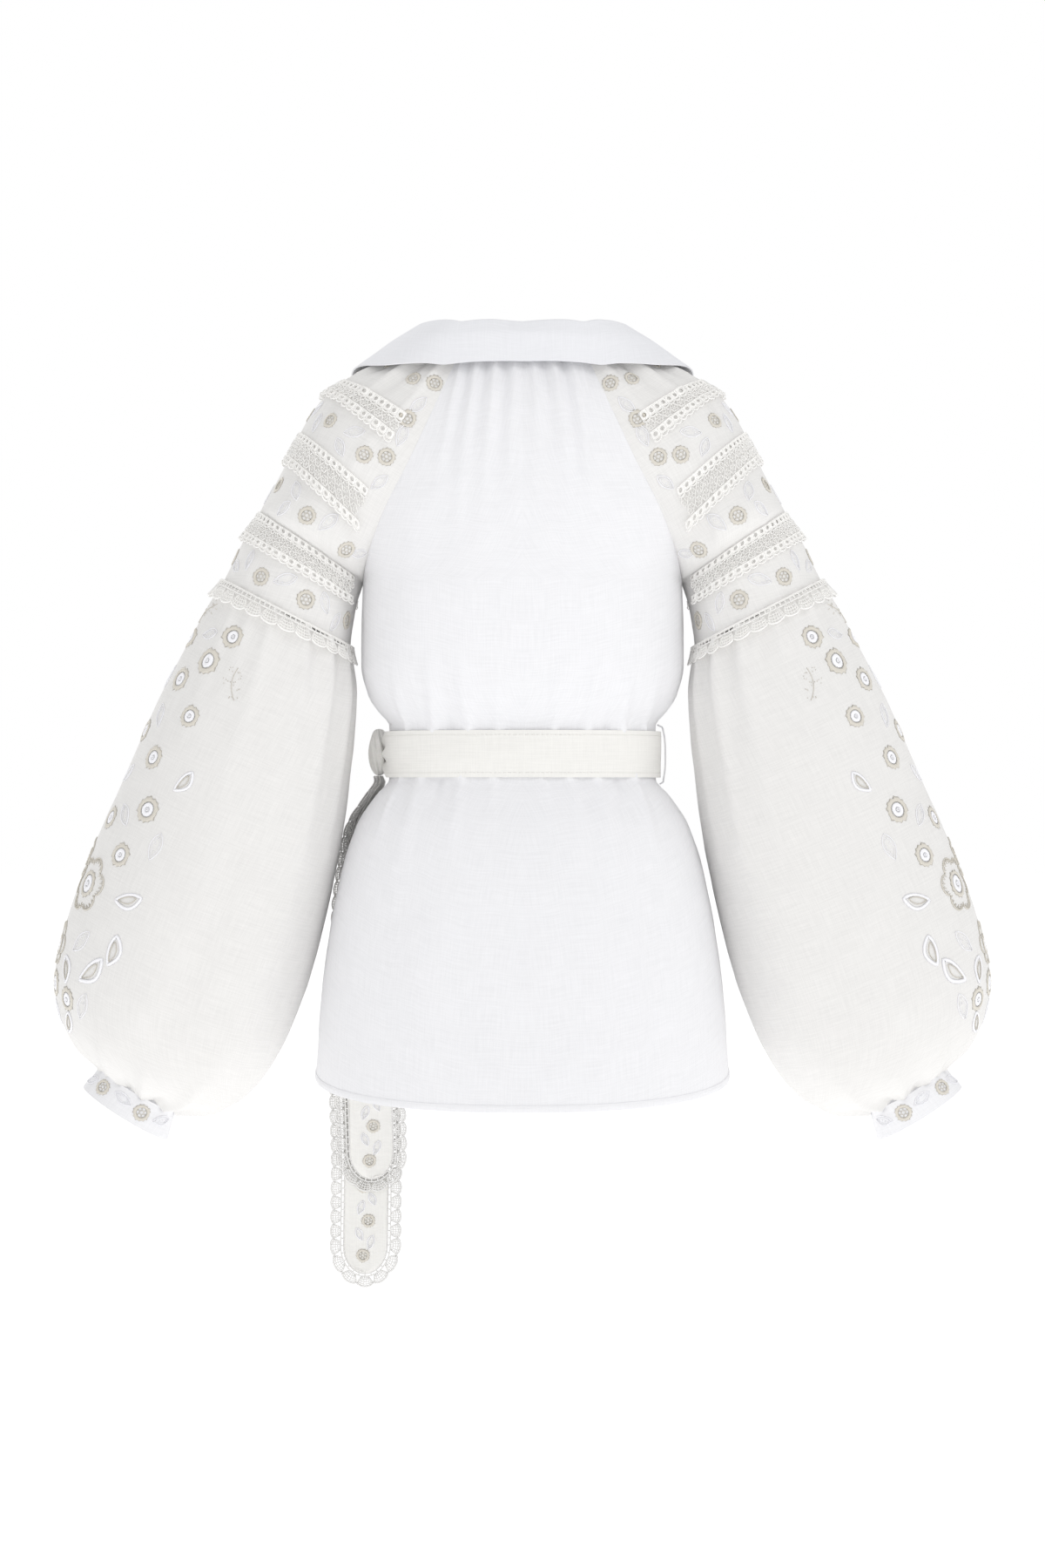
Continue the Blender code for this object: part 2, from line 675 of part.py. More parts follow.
def build_knot():
    """The sash's half knot at the wearer's left side, a lump of folded cloth."""
    seat = body_point(math.radians(97.0), -0.369, 0.0115)
    mesh = bpy.data.meshes.new("sash_knot")
    knot = bpy.data.objects.new("sash_knot", mesh)
    work = bmesh.new()
    bmesh.ops.create_uvsphere(work, u_segments=14, v_segments=9, radius=1.0)
    for vert in work.verts:
        angle = math.atan2(vert.co.y, vert.co.x)
        ridge = 1.0 + 0.10 * math.cos(5.0 * angle + 2.0 * vert.co.z)
        vert.co = Vector((
            seat.x + 0.0085 * vert.co.x * ridge,
            seat.y + 0.0125 * vert.co.y * ridge,
            seat.z + 0.0215 * vert.co.z,
        ))
    work.to_mesh(mesh)
    work.free()
    mesh.shade_smooth()
    mesh.materials.append(material(SASH_LINEN))
    garment.objects.link(knot)


def build_belt_loop():
    """A narrow loop at the right side seam that the belt runs through."""
    side = -1.0
    path = ((0.0018, -0.3435), (0.0072, -0.3460), (0.0092, -0.357), (0.0098, -0.370),
            (0.0096, -0.384), (0.0078, -0.3965), (0.0018, -0.3990))
    half_width = 0.002
    rows = []
    for y in (-half_width, half_width):
        row = []
        for out, height in path:
            base = read(BODY, "height", "half_width", height)
            row.append(Vector((side * (base + out), y, height)))
        rows.append(row)
    add_sheet("belt_loop", rows, WHITE_LINEN, WALL, body_axis)


def sash_frame(end, height):
    """Centre, width direction and facing of a sash end at a height, on the flaring skirt."""
    yaw = math.radians(read(SASH, "height", "yaw", height))
    facing = Vector((math.sin(yaw), -math.cos(yaw), 0.0))
    across = Vector((math.cos(yaw), math.sin(yaw), 0.0))
    level = max(height, BODY[-2].height)
    half_width = read(BODY, "height", "half_width", level)
    depth = read(BODY, "height", "front_depth", level)
    power = 1.0 / (2.0 - 2.0 / BODY_ROUNDNESS)
    from_front = math.atan((math.tan(yaw) * half_width / depth) ** power)
    touch = body_point(math.pi - from_front, level)
    shift = read(SASH, "height", "slide", height) + end.shift_x * smooth(-0.45, -0.62, height)
    clear = read(SASH, "height", "stand_off", height)
    clear += end.layer * read(SASH, "height", "layer_step", height)
    centre = touch + facing * clear + across * shift
    centre.z = height
    return centre, across, facing


def sash_point(end, across_step, height):
    """A point of a sash end at a sideways step from its centre line."""
    centre, across, _ = sash_frame(end, height)
    return centre + across * (across_step * read(SASH, "height", "spread", height))


def sash_inside(end):
    """A function that gives a point behind the sash end, for a point on it."""

    def behind(point):
        return point - sash_frame(end, point.z)[2] * 0.05

    return behind


def sash_shoulder(end):
    """The height at which a sash end's straight sides turn into its round tip."""
    return end.bottom + SASH_LACE_WIDTH + SASH_TIP


def sash_fans(end):
    """How many fans hang free on each side, and how many go round the tip."""
    beside = round((CUT_FROM - sash_shoulder(end)) / LACE_PITCH)
    arc = math.pi * (SASH_HALF_WIDTH + SASH_TIP) / 2.0
    around = 2 * round(arc * 1.2 / LACE_PITCH / 2.0)
    return beside, around


def sash_heights(end):
    """Heights of a sash end's rows: against the skirt, and then where it hangs free."""
    beside, _ = sash_fans(end)
    shoulder = sash_shoulder(end)
    free_top = shoulder + beside * LACE_PITCH
    plain = [SASH[0].height + (free_top - SASH[0].height) * step / PLAIN_ROWS
             for step in range(PLAIN_ROWS)]
    return plain, [free_top - step * LACE_PITCH for step in range(beside + 1)]


def build_sash_end(end):
    """The linen of a sash end, with a round tip."""
    shares = (-1.0, -0.5, 0.0, 0.5, 1.0)
    plain, free = sash_heights(end)
    kept = free[::2] if len(free) % 2 else free[::2] + [free[-1]]
    rows = [[sash_point(end, SASH_HALF_WIDTH * share, height) for share in shares]
            for height in plain + kept]
    _, around = sash_fans(end)
    shoulder = sash_shoulder(end)
    for number in range(1, around // 2):
        angle = math.pi * number / around
        width = SASH_HALF_WIDTH * math.cos(angle)
        height = shoulder - SASH_TIP * math.sin(angle)
        drop = SASH_TIP * (1.0 - math.sin(angle)) if number == around // 2 - 1 else 0.0
        rows.append([sash_point(end, width * share, height - drop * (1.0 - abs(share)))
                     for share in shares])
    add_sheet(end.name, rows, SASH_LINEN, WALL, sash_inside(end))


def build_sash_lace(end):
    """Lace round a sash end: plain against the skirt, and cut fans where it hangs free."""
    levels = {
        "top": SASH_SEAM, "rung": LACE_RUNG, "apex": LACE_APEX,
        "valley": LACE_VALLEY, "tip": SASH_LACE_WIDTH,
    }
    beside, around = sash_fans(end)
    shoulder = sash_shoulder(end)
    plain, free = sash_heights(end)
    count = 2 * beside + around

    def lace_point(place, level):
        reach = SASH_HALF_WIDTH + levels[level]
        if place < beside:
            return sash_point(end, reach, free[0] - place * LACE_PITCH)
        if place > beside + around:
            return sash_point(end, -reach, free[0] - (count - place) * LACE_PITCH)
        angle = math.pi * (place - beside) / around
        height = shoulder - (SASH_TIP + levels[level]) * math.sin(angle)
        return sash_point(end, reach * math.cos(angle), height)

    points, faces, first, last = fan_strip(count, lace_point)
    for side, joined in ((1.0, first), (-1.0, last)):
        before = joined
        for height in reversed(plain):
            start = len(points)
            for level in ("top", "rung", "valley"):
                reach = SASH_HALF_WIDTH + levels[level]
                points.append(sash_point(end, reach * side, height))
            now = (start, start + 1, start + 2)
            for inner in (0, 1):
                quad = (before[inner], now[inner], now[inner + 1], before[inner + 1])
                faces.append(quad if side > 0 else tuple(reversed(quad)))
            before = now
    add_wall(end.name + "_lace", points, faces, IVORY_LACE, LACE_WALL, sash_inside(end))


for old in list(bpy.data.objects):
    bpy.data.objects.remove(old, do_unlink=True)
garment = collection("wrap_blouse")
build_body()
for side_sign, side_word in ((1.0, "left"), (-1.0, "right")):
    build_upper_sleeve(side_sign, side_word)
    build_lace_bands(side_sign, side_word)
    build_flounce(side_sign, side_word)
    build_lower_sleeve(side_sign, side_word)
    build_cuff(side_sign, side_word)
build_collar()
build_belt()
build_knot()
build_belt_loop()
for sash_end in SASH_ENDS:
    build_sash_end(sash_end)
    build_sash_lace(sash_end)
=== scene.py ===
"""A white wrap blouse in linen, voile and lace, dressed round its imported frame."""
import math
from collections import namedtuple

import bmesh
import bpy
import numpy as np
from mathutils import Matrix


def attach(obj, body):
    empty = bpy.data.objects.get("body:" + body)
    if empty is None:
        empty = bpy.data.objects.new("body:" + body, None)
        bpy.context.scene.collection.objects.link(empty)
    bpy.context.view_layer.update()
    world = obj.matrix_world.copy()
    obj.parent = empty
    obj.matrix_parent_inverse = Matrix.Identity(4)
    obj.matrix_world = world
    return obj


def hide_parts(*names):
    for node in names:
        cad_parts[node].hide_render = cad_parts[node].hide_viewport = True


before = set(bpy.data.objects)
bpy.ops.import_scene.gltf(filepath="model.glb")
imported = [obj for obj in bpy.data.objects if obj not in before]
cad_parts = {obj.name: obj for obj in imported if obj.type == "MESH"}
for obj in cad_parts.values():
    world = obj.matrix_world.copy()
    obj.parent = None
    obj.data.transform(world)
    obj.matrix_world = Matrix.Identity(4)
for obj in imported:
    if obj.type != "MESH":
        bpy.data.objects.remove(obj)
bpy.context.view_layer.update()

bl_info = {
    "name": "Wrap blouse",
    "version": (1, 0, 0),
    "blender": (4, 5, 0),
    "location": "3D View > Sidebar > Blouse",
    "description": "Dresses a wrap blouse in its linen, voile, lace and embroidery",
    "category": "Object",
}

# Sizes of the garment in metres, as in the source of its solids. The underarm is a sleeve station.
BODY_ROUNDNESS = 2.3
WRAP_STEP = 0.0026
UNDER_REACH = 0.055
BELT_TOP = -0.3505
BELT_BOTTOM = -0.3925
KNOT_ANGLE = math.radians(97.0)
SASH_HALF_WIDTH = 0.020
SASH_LACE_WIDTH = 0.0135
SASH_TIP = 0.026
FAN_PITCH = 0.014
FLOUNCE_HEIGHT = 0.0185
FLOUNCE_FANS = 28
UNDERARM = 5.0

# Sizes of the dressed forms alone. The full reach is more than any front needs. The knot's seat is
# its height and its step out, and the hem's depth is where the sash ends come out below the hem.
FULL_REACH = 1.0
KNOT_SEAT = (-0.369, 0.0115)
KNOT_RADII = (0.0088, 0.0128, 0.0215)
HEM_WIDTH = 0.0062
HEM_HEIGHT = 0.0008
HEM_THICKNESS = 0.0006
HEM_DEPTH = 0.655
SMALLEST_SIDE = 0.0102
SIDES = ((1.0, "left"), (-1.0, "right"))

# Seeds of the random draws in the flowers
SEED_NUMBERS = {"tier": 11, "balloon": 17, "cuff": 23, "sash": 31, "sash_rear": 41}

# The studio. Each light has a name, a place, a size and a power.
CAMERA_DISTANCE = 2.6
CAMERA_HEIGHT = -0.3984
FLOOR_HEIGHT = -1.75
FLOOR_REACH = 40.0
FLOOR_GLOW = 0.42
LIT_POINT = (0.0, 0.0, -0.35)
LIGHTS = (
    ("key_light", (-2.2, 2.4, 1.9), 1.2, 17.0),
    ("front_light", (1.6, -2.6, 1.6), 1.2, 15.0),
)

BodySection = namedtuple("BodySection", "height half_width back_depth front_depth")
BODY = tuple(BodySection(*row) for row in (
    (0.002, 0.104, 0.072, 0.040),
    (-0.026, 0.126, 0.088, 0.066),
    (-0.060, 0.146, 0.101, 0.088),
    (-0.110, 0.159, 0.110, 0.106),
    (-0.150, 0.158, 0.113, 0.116),
    (-0.184, 0.152, 0.113, 0.120),
    (-0.214, 0.146, 0.112, 0.120),
    (-0.250, 0.1475, 0.110, 0.118),
    (-0.290, 0.148, 0.105, 0.110),
    (-0.318, 0.141, 0.099, 0.102),
    (-0.332, 0.132, 0.095, 0.097),
    (-0.345, 0.122, 0.092, 0.094),
    (-0.394, 0.122, 0.092, 0.094),
    (-0.408, 0.134, 0.097, 0.099),
    (-0.434, 0.151, 0.108, 0.110),
    (-0.472, 0.164, 0.118, 0.120),
    (-0.536, 0.177, 0.128, 0.131),
    (-0.613, 0.186, 0.136, 0.141),
    (-0.664, 0.189, 0.141, 0.146),
    (-0.690, 0.190, 0.142, 0.147),
))

# Panel rows: the raglan seam's sleeve station as far as row 6, and the side seam below it
PanelRow = namedtuple("PanelRow", "row station back_height side_height edge_x edge_height")
PANEL_ROWS = tuple(PanelRow(*row) for row in (
    (0, 0.0, 0.0, 0.0, 0.089, -0.028),
    (1, 0.5, -0.038, 0.0, 0.074, -0.057),
    (2, 1.0, -0.074, 0.0, 0.058, -0.088),
    (3, 2.0, -0.112, 0.0, 0.041, -0.118),
    (4, 3.0, -0.148, 0.0, 0.023, -0.150),
    (5, 4.0, -0.184, 0.0, 0.005, -0.184),
    (6, 5.0, -0.218, -0.214, -0.012, -0.214),
    (7, 5.0, -0.250, -0.250, -0.032, -0.250),
    (8, 5.0, -0.290, -0.290, -0.052, -0.290),
    (9, 5.0, -0.317, -0.317, -0.064, -0.317),
    (10, 5.0, -0.333, -0.333, -0.071, -0.333),
    (11, 5.0, -0.346, -0.346, -0.076, -0.346),
    (12, 5.0, -0.370, -0.370, -0.080, -0.370),
    (13, 5.0, -0.396, -0.396, -0.083, -0.396),
    (14, 5.0, -0.411, -0.411, -0.084, -0.411),
    (15, 5.0, -0.432, -0.432, -0.085, -0.432),
    (16, 5.0, -0.465, -0.464, -0.086, -0.464),
    (17, 5.0, -0.515, -0.510, -0.087, -0.510),
    (18, 5.0, -0.575, -0.564, -0.088, -0.564),
    (19, 5.0, -0.632, -0.616, -0.089, -0.618),
    (20, 5.0, -0.684, -0.664, -0.090, -0.668),
))
SEAM_ROW = 6.0

# Sleeve sections run from the back seam over the outer side to the front seam
SleeveSection = namedtuple(
    "SleeveSection",
    "station back_x back_height outer_x outer_height front_x front_height bulge roundness",
)
SLEEVE = tuple(SleeveSection(*row) for row in (
    (0, 0.052, -0.005, 0.098, -0.002, 0.092, -0.026, 0.002, 1.0),
    (1, 0.084, -0.076, 0.164, -0.030, 0.104, -0.084, 0.010, 1.0),
    (2, 0.101, -0.112, 0.183, -0.046, 0.112, -0.116, 0.014, 1.0),
    (3, 0.1215, -0.150, 0.204, -0.078, 0.126, -0.150, 0.024, 1.1),
    (4, 0.1365, -0.184, 0.217, -0.106, 0.138, -0.184, 0.040, 1.3),
    (5, 0.1465, -0.214, 0.241, -0.150, 0.1465, -0.214, 0.069, 1.7),
    (6, 0.1535, -0.238, 0.256, -0.176, 0.1535, -0.238, 0.071, 2.0),
    (7, 0.158, -0.274, 0.274, -0.213, 0.158, -0.274, 0.072, 2.0),
    (8, 0.1525, -0.322, 0.300, -0.258, 0.1525, -0.322, 0.079, 2.0),
    (9, 0.160, -0.408, 0.332, -0.318, 0.160, -0.408, 0.089, 2.0),
    (10, 0.175, -0.494, 0.365, -0.392, 0.175, -0.494, 0.095, 2.0),
    (11, 0.196, -0.578, 0.397, -0.466, 0.196, -0.578, 0.099, 2.0),
    (12, 0.224, -0.646, 0.421, -0.534, 0.224, -0.646, 0.097, 2.0),
    (13, 0.245, -0.676, 0.429, -0.575, 0.245, -0.676, 0.091, 2.0),
    (14, 0.264, -0.692, 0.425, -0.606, 0.264, -0.692, 0.080, 2.0),
    (15, 0.288, -0.700, 0.410, -0.634, 0.288, -0.700, 0.060, 2.0),
    (16, 0.317, -0.6985, 0.389, -0.6565, 0.317, -0.6985, 0.033, 2.0),
    (17, 0.327, -0.724, 0.403, -0.676, 0.327, -0.724, 0.034, 2.0),
))

# The collar, as steps from the neck edge: 0 centre back, 1 back raglan seam, 2 shoulder,
# 3 front raglan seam, 4 the lapel's end
CollarSection = namedtuple(
    "CollarSection", "place fold_x fold_y fold_z mid_x mid_y mid_z free_x free_y free_z")
COLLAR = tuple(CollarSection(*row) for row in (
    (0.0, 0.000, 0.006, 0.015, 0.000, 0.016, 0.003, 0.000, 0.024, -0.024),
    (1.0, 0.003, 0.006, 0.020, 0.010, 0.015, 0.005, 0.020, 0.023, -0.022),
    (1.5, 0.006, 0.004, 0.018, 0.022, 0.014, 0.003, 0.042, 0.028, -0.025),
    (2.0, 0.001, 0.000, 0.021, 0.027, 0.000, 0.006, 0.058, 0.000, -0.016),
    (2.5, 0.002, -0.003, 0.018, 0.025, -0.013, 0.003, 0.051, -0.029, -0.022),
    (3.0, 0.001, -0.009, 0.012, 0.022, -0.022, -0.008, 0.045, -0.036, -0.034),
    (3.5, 0.000, -0.008, 0.006, 0.019, -0.017, -0.010, 0.038, -0.023, -0.032),
    (3.75, 0.000, -0.008, 0.004, 0.012, -0.013, -0.008, 0.025, -0.018, -0.026),
    (4.0, 0.000, -0.006, 0.003, 0.006, -0.008, -0.003, 0.010, -0.009, -0.010),
))
CROWN = 0.006
COLLAR_RISE = 0.0022

SashSection = namedtuple("SashSection", "height yaw slide spread stand_off layer_step")
SASH = tuple(SashSection(*row) for row in (
    (-0.3912, 80.0, 0.004, 0.45, 0.0115, 0.0018),
    (-0.412, 74.0, 0.002, 0.62, 0.0060, 0.0018),
    (-0.450, 60.0, 0.000, 0.95, 0.0056, 0.0030),
    (-0.520, 42.0, 0.0126, 1.0, 0.0052, 0.0044),
    (-0.600, 24.0, 0.049, 1.0, 0.0050, 0.0044),
    (-0.668, 11.0, 0.089, 1.0, 0.0050, 0.0044),
    (-0.780, 4.0, 0.120, 1.0, 0.0040, 0.0044),
    (-0.900, 2.0, 0.134, 1.0, 0.0040, 0.0044),
))
SashEnd = namedtuple("SashEnd", "name bottom layer shift_x flowers")
SASH_ENDS = tuple(SashEnd(*row) for row in (
    ("sash_end_long", -0.886, 1, 0.0015, 14),
    ("sash_end_short", -0.793, 0, -0.0035, 12),
))

# The belt loop, as steps out from the side seam and heights
LOOP_PATH = ((0.0018, -0.3435), (0.0072, -0.3460), (0.0092, -0.357), (0.0098, -0.370),
             (0.0096, -0.384), (0.0078, -0.3965), (0.0018, -0.3990))

# Folds run from their start to their end. A held fold is deepest at its start, where a seam
# gathers it, and a free one is deepest half way.
Fold = namedtuple("Fold", "across down across_end down_end width depth bend held")

# On the body, in metres round it from the centre and down from the neck
BACK_FOLDS = {
    "left": tuple(Fold(*row) for row in (
        (0.006, 0.020, 0.010, 0.190, 0.0050, 0.0026, 0.002, 1),
        (0.015, 0.020, 0.024, 0.150, 0.0045, -0.0022, 0.0, 1),
        (0.023, 0.020, 0.036, 0.215, 0.0050, 0.0034, 0.003, 1),
        (0.032, 0.020, 0.050, 0.130, 0.0040, -0.0024, 0.0, 1),
        (0.039, 0.018, 0.062, 0.240, 0.0055, 0.0030, 0.004, 1),
        (0.047, 0.018, 0.070, 0.140, 0.0040, -0.0020, 0.0, 1),
        (0.053, 0.018, 0.084, 0.180, 0.0045, 0.0026, 0.002, 1),
        (0.020, 0.350, 0.026, 0.285, 0.0060, 0.0020, 0.001, 1),
        (0.048, 0.350, 0.056, 0.262, 0.0055, 0.0028, 0.003, 1),
        (0.064, 0.350, 0.074, 0.296, 0.0045, -0.0018, 0.0, 1),
        (0.082, 0.350, 0.094, 0.240, 0.0060, 0.0030, -0.003, 1),
        (0.112, 0.350, 0.124, 0.270, 0.0055, 0.0026, 0.002, 1),
        (0.026, 0.392, 0.030, 0.470, 0.0055, 0.0022, 0.001, 1),
        (0.055, 0.392, 0.066, 0.500, 0.0060, 0.0030, 0.003, 1),
        (0.075, 0.392, 0.092, 0.452, 0.0045, -0.0020, 0.0, 1),
        (0.095, 0.392, 0.118, 0.520, 0.0070, 0.0030, 0.004, 1),
        (0.122, 0.392, 0.150, 0.470, 0.0050, 0.0026, 0.0, 1),
        (0.070, 0.470, 0.100, 0.690, 0.0260, 0.0022, 0.006, 0),
        (0.104, 0.120, 0.110, 0.330, 0.0180, 0.0022, -0.004, 0),
        (0.040, 0.150, 0.052, 0.340, 0.0200, 0.0014, 0.004, 0),
    )),
    "right": tuple(Fold(*row) for row in (
        (0.010, 0.020, 0.014, 0.165, 0.0045, 0.0030, 0.001, 1),
        (0.019, 0.020, 0.028, 0.120, 0.0040, -0.0022, 0.0, 1),
        (0.027, 0.020, 0.042, 0.200, 0.0055, 0.0032, 0.004, 1),
        (0.036, 0.018, 0.054, 0.160, 0.0045, -0.0024, 0.0, 1),
        (0.044, 0.018, 0.068, 0.225, 0.0050, 0.0030, 0.002, 1),
        (0.051, 0.018, 0.080, 0.150, 0.0045, 0.0022, 0.0, 1),
        (0.028, 0.350, 0.032, 0.276, 0.0055, 0.0024, 0.001, 1),
        (0.058, 0.350, 0.068, 0.250, 0.0060, 0.0028, 0.002, 1),
        (0.076, 0.350, 0.084, 0.300, 0.0045, -0.0020, 0.0, 1),
        (0.094, 0.350, 0.108, 0.232, 0.0060, 0.0032, -0.003, 1),
        (0.124, 0.350, 0.132, 0.285, 0.0050, 0.0024, 0.0, 1),
        (0.016, 0.392, 0.018, 0.450, 0.0050, 0.0018, 0.001, 1),
        (0.042, 0.392, 0.050, 0.480, 0.0060, 0.0026, 0.002, 1),
        (0.068, 0.392, 0.082, 0.512, 0.0065, 0.0030, 0.003, 1),
        (0.088, 0.392, 0.104, 0.450, 0.0045, -0.0022, 0.0, 1),
        (0.108, 0.392, 0.136, 0.500, 0.0070, 0.0032, 0.0, 1),
        (0.058, 0.480, 0.080, 0.690, 0.0280, 0.0020, 0.004, 0),
        (0.112, 0.110, 0.112, 0.320, 0.0180, 0.0020, -0.006, 0),
    )),
}
FRONT_FOLDS = tuple(Fold(*row) for row in (
    (0.020, 0.350, 0.026, 0.262, 0.0060, 0.0024, 0.001, 1),
    (0.052, 0.350, 0.060, 0.240, 0.0060, 0.0030, 0.003, 1),
    (0.086, 0.350, 0.092, 0.276, 0.0055, 0.0026, -0.002, 1),
    (0.116, 0.350, 0.124, 0.250, 0.0060, 0.0028, 0.002, 1),
    (0.014, 0.392, 0.020, 0.480, 0.0060, 0.0024, 0.001, 1),
    (0.046, 0.392, 0.060, 0.520, 0.0070, 0.0030, 0.004, 1),
    (0.082, 0.392, 0.102, 0.470, 0.0060, 0.0026, 0.002, 1),
    (0.118, 0.392, 0.142, 0.500, 0.0060, 0.0030, 0.0, 1),
    (0.090, 0.100, 0.108, 0.300, 0.0200, 0.0024, -0.004, 0),
    (0.064, 0.470, 0.090, 0.680, 0.0280, 0.0022, 0.006, 0),
))

# On the sleeves, across by turn (0 the back seam, 0.5 the outer side) and down by station
UPPER_FOLDS = tuple(Fold(*row) for row in (
    (0.06, 0.0, 0.10, 2.2, 0.0040, 0.0030, 0.01, 1),
    (0.13, 0.0, 0.20, 1.3, 0.0035, -0.0030, 0.0, 1),
    (0.19, 0.0, 0.27, 2.6, 0.0045, 0.0042, 0.01, 1),
    (0.27, 0.0, 0.34, 1.2, 0.0035, -0.0030, 0.0, 1),
    (0.34, 0.0, 0.41, 2.0, 0.0045, 0.0036, 0.0, 1),
    (0.46, 0.0, 0.48, 1.4, 0.0045, 0.0026, 0.0, 1),
    (0.58, 0.0, 0.56, 1.8, 0.0045, 0.0030, 0.0, 1),
    (0.70, 0.0, 0.65, 2.2, 0.0040, 0.0036, 0.01, 1),
    (0.84, 0.0, 0.80, 1.9, 0.0040, 0.0030, 0.0, 1),
    (0.12, 2.0, 0.13, 3.1, 0.0050, 0.0018, 0.01, 0),
    (0.28, 1.9, 0.30, 3.1, 0.0060, 0.0016, 0.0, 0),
    (0.68, 1.9, 0.66, 3.1, 0.0060, 0.0018, 0.0, 0),
    (0.16, 4.0, 0.15, 5.1, 0.0070, 0.0018, 0.01, 0),
    (0.31, 4.0, 0.32, 5.1, 0.0060, 0.0016, 0.0, 0),
    (0.62, 4.0, 0.63, 5.1, 0.0070, 0.0018, 0.0, 0),
    (0.82, 4.0, 0.80, 5.1, 0.0060, 0.0020, 0.0, 0),
    (0.12, 6.0, 0.12, 7.0, 0.0060, 0.0016, 0.0, 0),
    (0.36, 6.0, 0.35, 7.0, 0.0060, 0.0016, 0.0, 0),
    (0.70, 6.0, 0.72, 7.0, 0.0060, 0.0018, 0.0, 0),
))
BALLOON_FOLDS = tuple(Fold(*row) for row in (
    (0.020, 7.0, 0.030, 9.2, 0.0055, 0.0034, 0.004, 1),
    (0.055, 7.0, 0.062, 10.6, 0.0060, 0.0042, 0.006, 1),
    (0.088, 7.0, 0.094, 8.6, 0.0050, -0.0028, 0.0, 1),
    (0.120, 7.0, 0.122, 11.4, 0.0065, 0.0046, 0.006, 1),
    (0.158, 7.0, 0.160, 9.0, 0.0050, -0.0030, 0.0, 1),
    (0.186, 7.0, 0.190, 10.2, 0.0060, 0.0038, -0.004, 1),
    (0.228, 7.0, 0.230, 8.8, 0.0055, -0.0026, 0.0, 1),
    (0.262, 7.0, 0.262, 10.4, 0.0060, 0.0036, 0.004, 1),
    (0.312, 7.0, 0.310, 9.0, 0.0055, 0.0030, 0.0, 1),
    (0.356, 7.0, 0.352, 9.8, 0.0060, 0.0034, 0.0, 1),
    (0.402, 7.0, 0.400, 8.8, 0.0055, -0.0022, 0.0, 1),
    (0.446, 7.0, 0.440, 9.6, 0.0060, 0.0032, 0.0, 1),
    (0.510, 7.0, 0.508, 9.0, 0.0060, 0.0030, 0.0, 1),
    (0.556, 7.0, 0.560, 10.2, 0.0060, 0.0034, 0.0, 1),
    (0.604, 7.0, 0.610, 8.9, 0.0055, -0.0024, 0.0, 1),
    (0.648, 7.0, 0.650, 9.9, 0.0060, 0.0036, 0.004, 1),
    (0.700, 7.0, 0.704, 10.8, 0.0065, 0.0040, 0.0, 1),
    (0.748, 7.0, 0.750, 8.8, 0.0050, -0.0028, 0.0, 1),
    (0.792, 7.0, 0.796, 10.4, 0.0060, 0.0038, 0.004, 1),
    (0.844, 7.0, 0.850, 9.4, 0.0055, 0.0034, 0.0, 1),
    (0.896, 7.0, 0.902, 11.0, 0.0060, 0.0040, -0.004, 1),
    (0.950, 7.0, 0.952, 9.2, 0.0055, 0.0032, 0.0, 1),
    (0.030, 16.0, 0.044, 13.2, 0.0055, 0.0040, 0.004, 1),
    (0.078, 16.0, 0.092, 14.2, 0.0040, -0.0030, 0.0, 1),
    (0.120, 16.0, 0.146, 12.4, 0.0060, 0.0046, 0.010, 1),
    (0.170, 16.0, 0.190, 14.4, 0.0040, -0.0032, 0.0, 1),
    (0.216, 16.0, 0.236, 13.0, 0.0055, 0.0044, 0.006, 1),
    (0.268, 16.0, 0.280, 14.5, 0.0040, -0.0028, 0.0, 1),
    (0.312, 16.0, 0.326, 12.8, 0.0055, 0.0042, 0.0, 1),
    (0.368, 16.0, 0.374, 14.4, 0.0040, 0.0030, 0.0, 1),
    (0.420, 16.0, 0.424, 13.4, 0.0050, 0.0040, 0.0, 1),
    (0.480, 16.0, 0.482, 14.6, 0.0040, 0.0032, 0.0, 1),
    (0.540, 16.0, 0.536, 13.6, 0.0050, 0.0040, 0.0, 1),
    (0.600, 16.0, 0.594, 14.4, 0.0040, -0.0030, 0.0, 1),
    (0.656, 16.0, 0.640, 13.0, 0.0055, 0.0042, 0.0, 1),
    (0.712, 16.0, 0.700, 14.4, 0.0040, 0.0032, 0.0, 1),
    (0.770, 16.0, 0.748, 12.8, 0.0060, 0.0044, 0.006, 1),
    (0.830, 16.0, 0.810, 14.2, 0.0040, -0.0030, 0.0, 1),
    (0.884, 16.0, 0.868, 13.2, 0.0055, 0.0042, 0.0, 1),
    (0.944, 16.0, 0.930, 14.0, 0.0045, 0.0036, 0.0, 1),
    (0.130, 8.4, 0.118, 14.6, 0.0200, 0.0040, 0.012, 0),
    (0.225, 9.0, 0.240, 14.2, 0.0180, -0.0030, -0.010, 0),
    (0.060, 9.0, 0.066, 14.0, 0.0160, -0.0026, 0.008, 0),
    (0.760, 8.6, 0.770, 14.4, 0.0200, 0.0038, -0.010, 0),
    (0.640, 9.4, 0.650, 14.0, 0.0180, -0.0028, 0.006, 0),
))

# Lace bands by their sleeve stations, with the height that their lower edge stands proud
LaceBand = namedtuple("LaceBand", "node top bottom proud")
LACE_BANDS = tuple(LaceBand(*row) for row in (
    ("lace_shoulder", 1.14, 2.0, 0.0034),
    ("lace_upper_arm", 3.0, 4.0, 0.0034),
    ("lace_lower_arm", 5.0, 6.0, 0.0034),
))

# Sizes in the lace bands
EDGING = 0.0058
SCALLOP = 0.0024
CELL = 0.0078
TAPE = 0.0005
BAND_START = 0.07
BAND_END = 0.95
CROCHET_ROW = 0.0082
CROCHET_MOTIF = 0.0094

# Single stitches: their width and their height
SEED_STITCH = (0.0004, 0.0003)
RUNNING_STITCH = (0.0005, 0.0003)

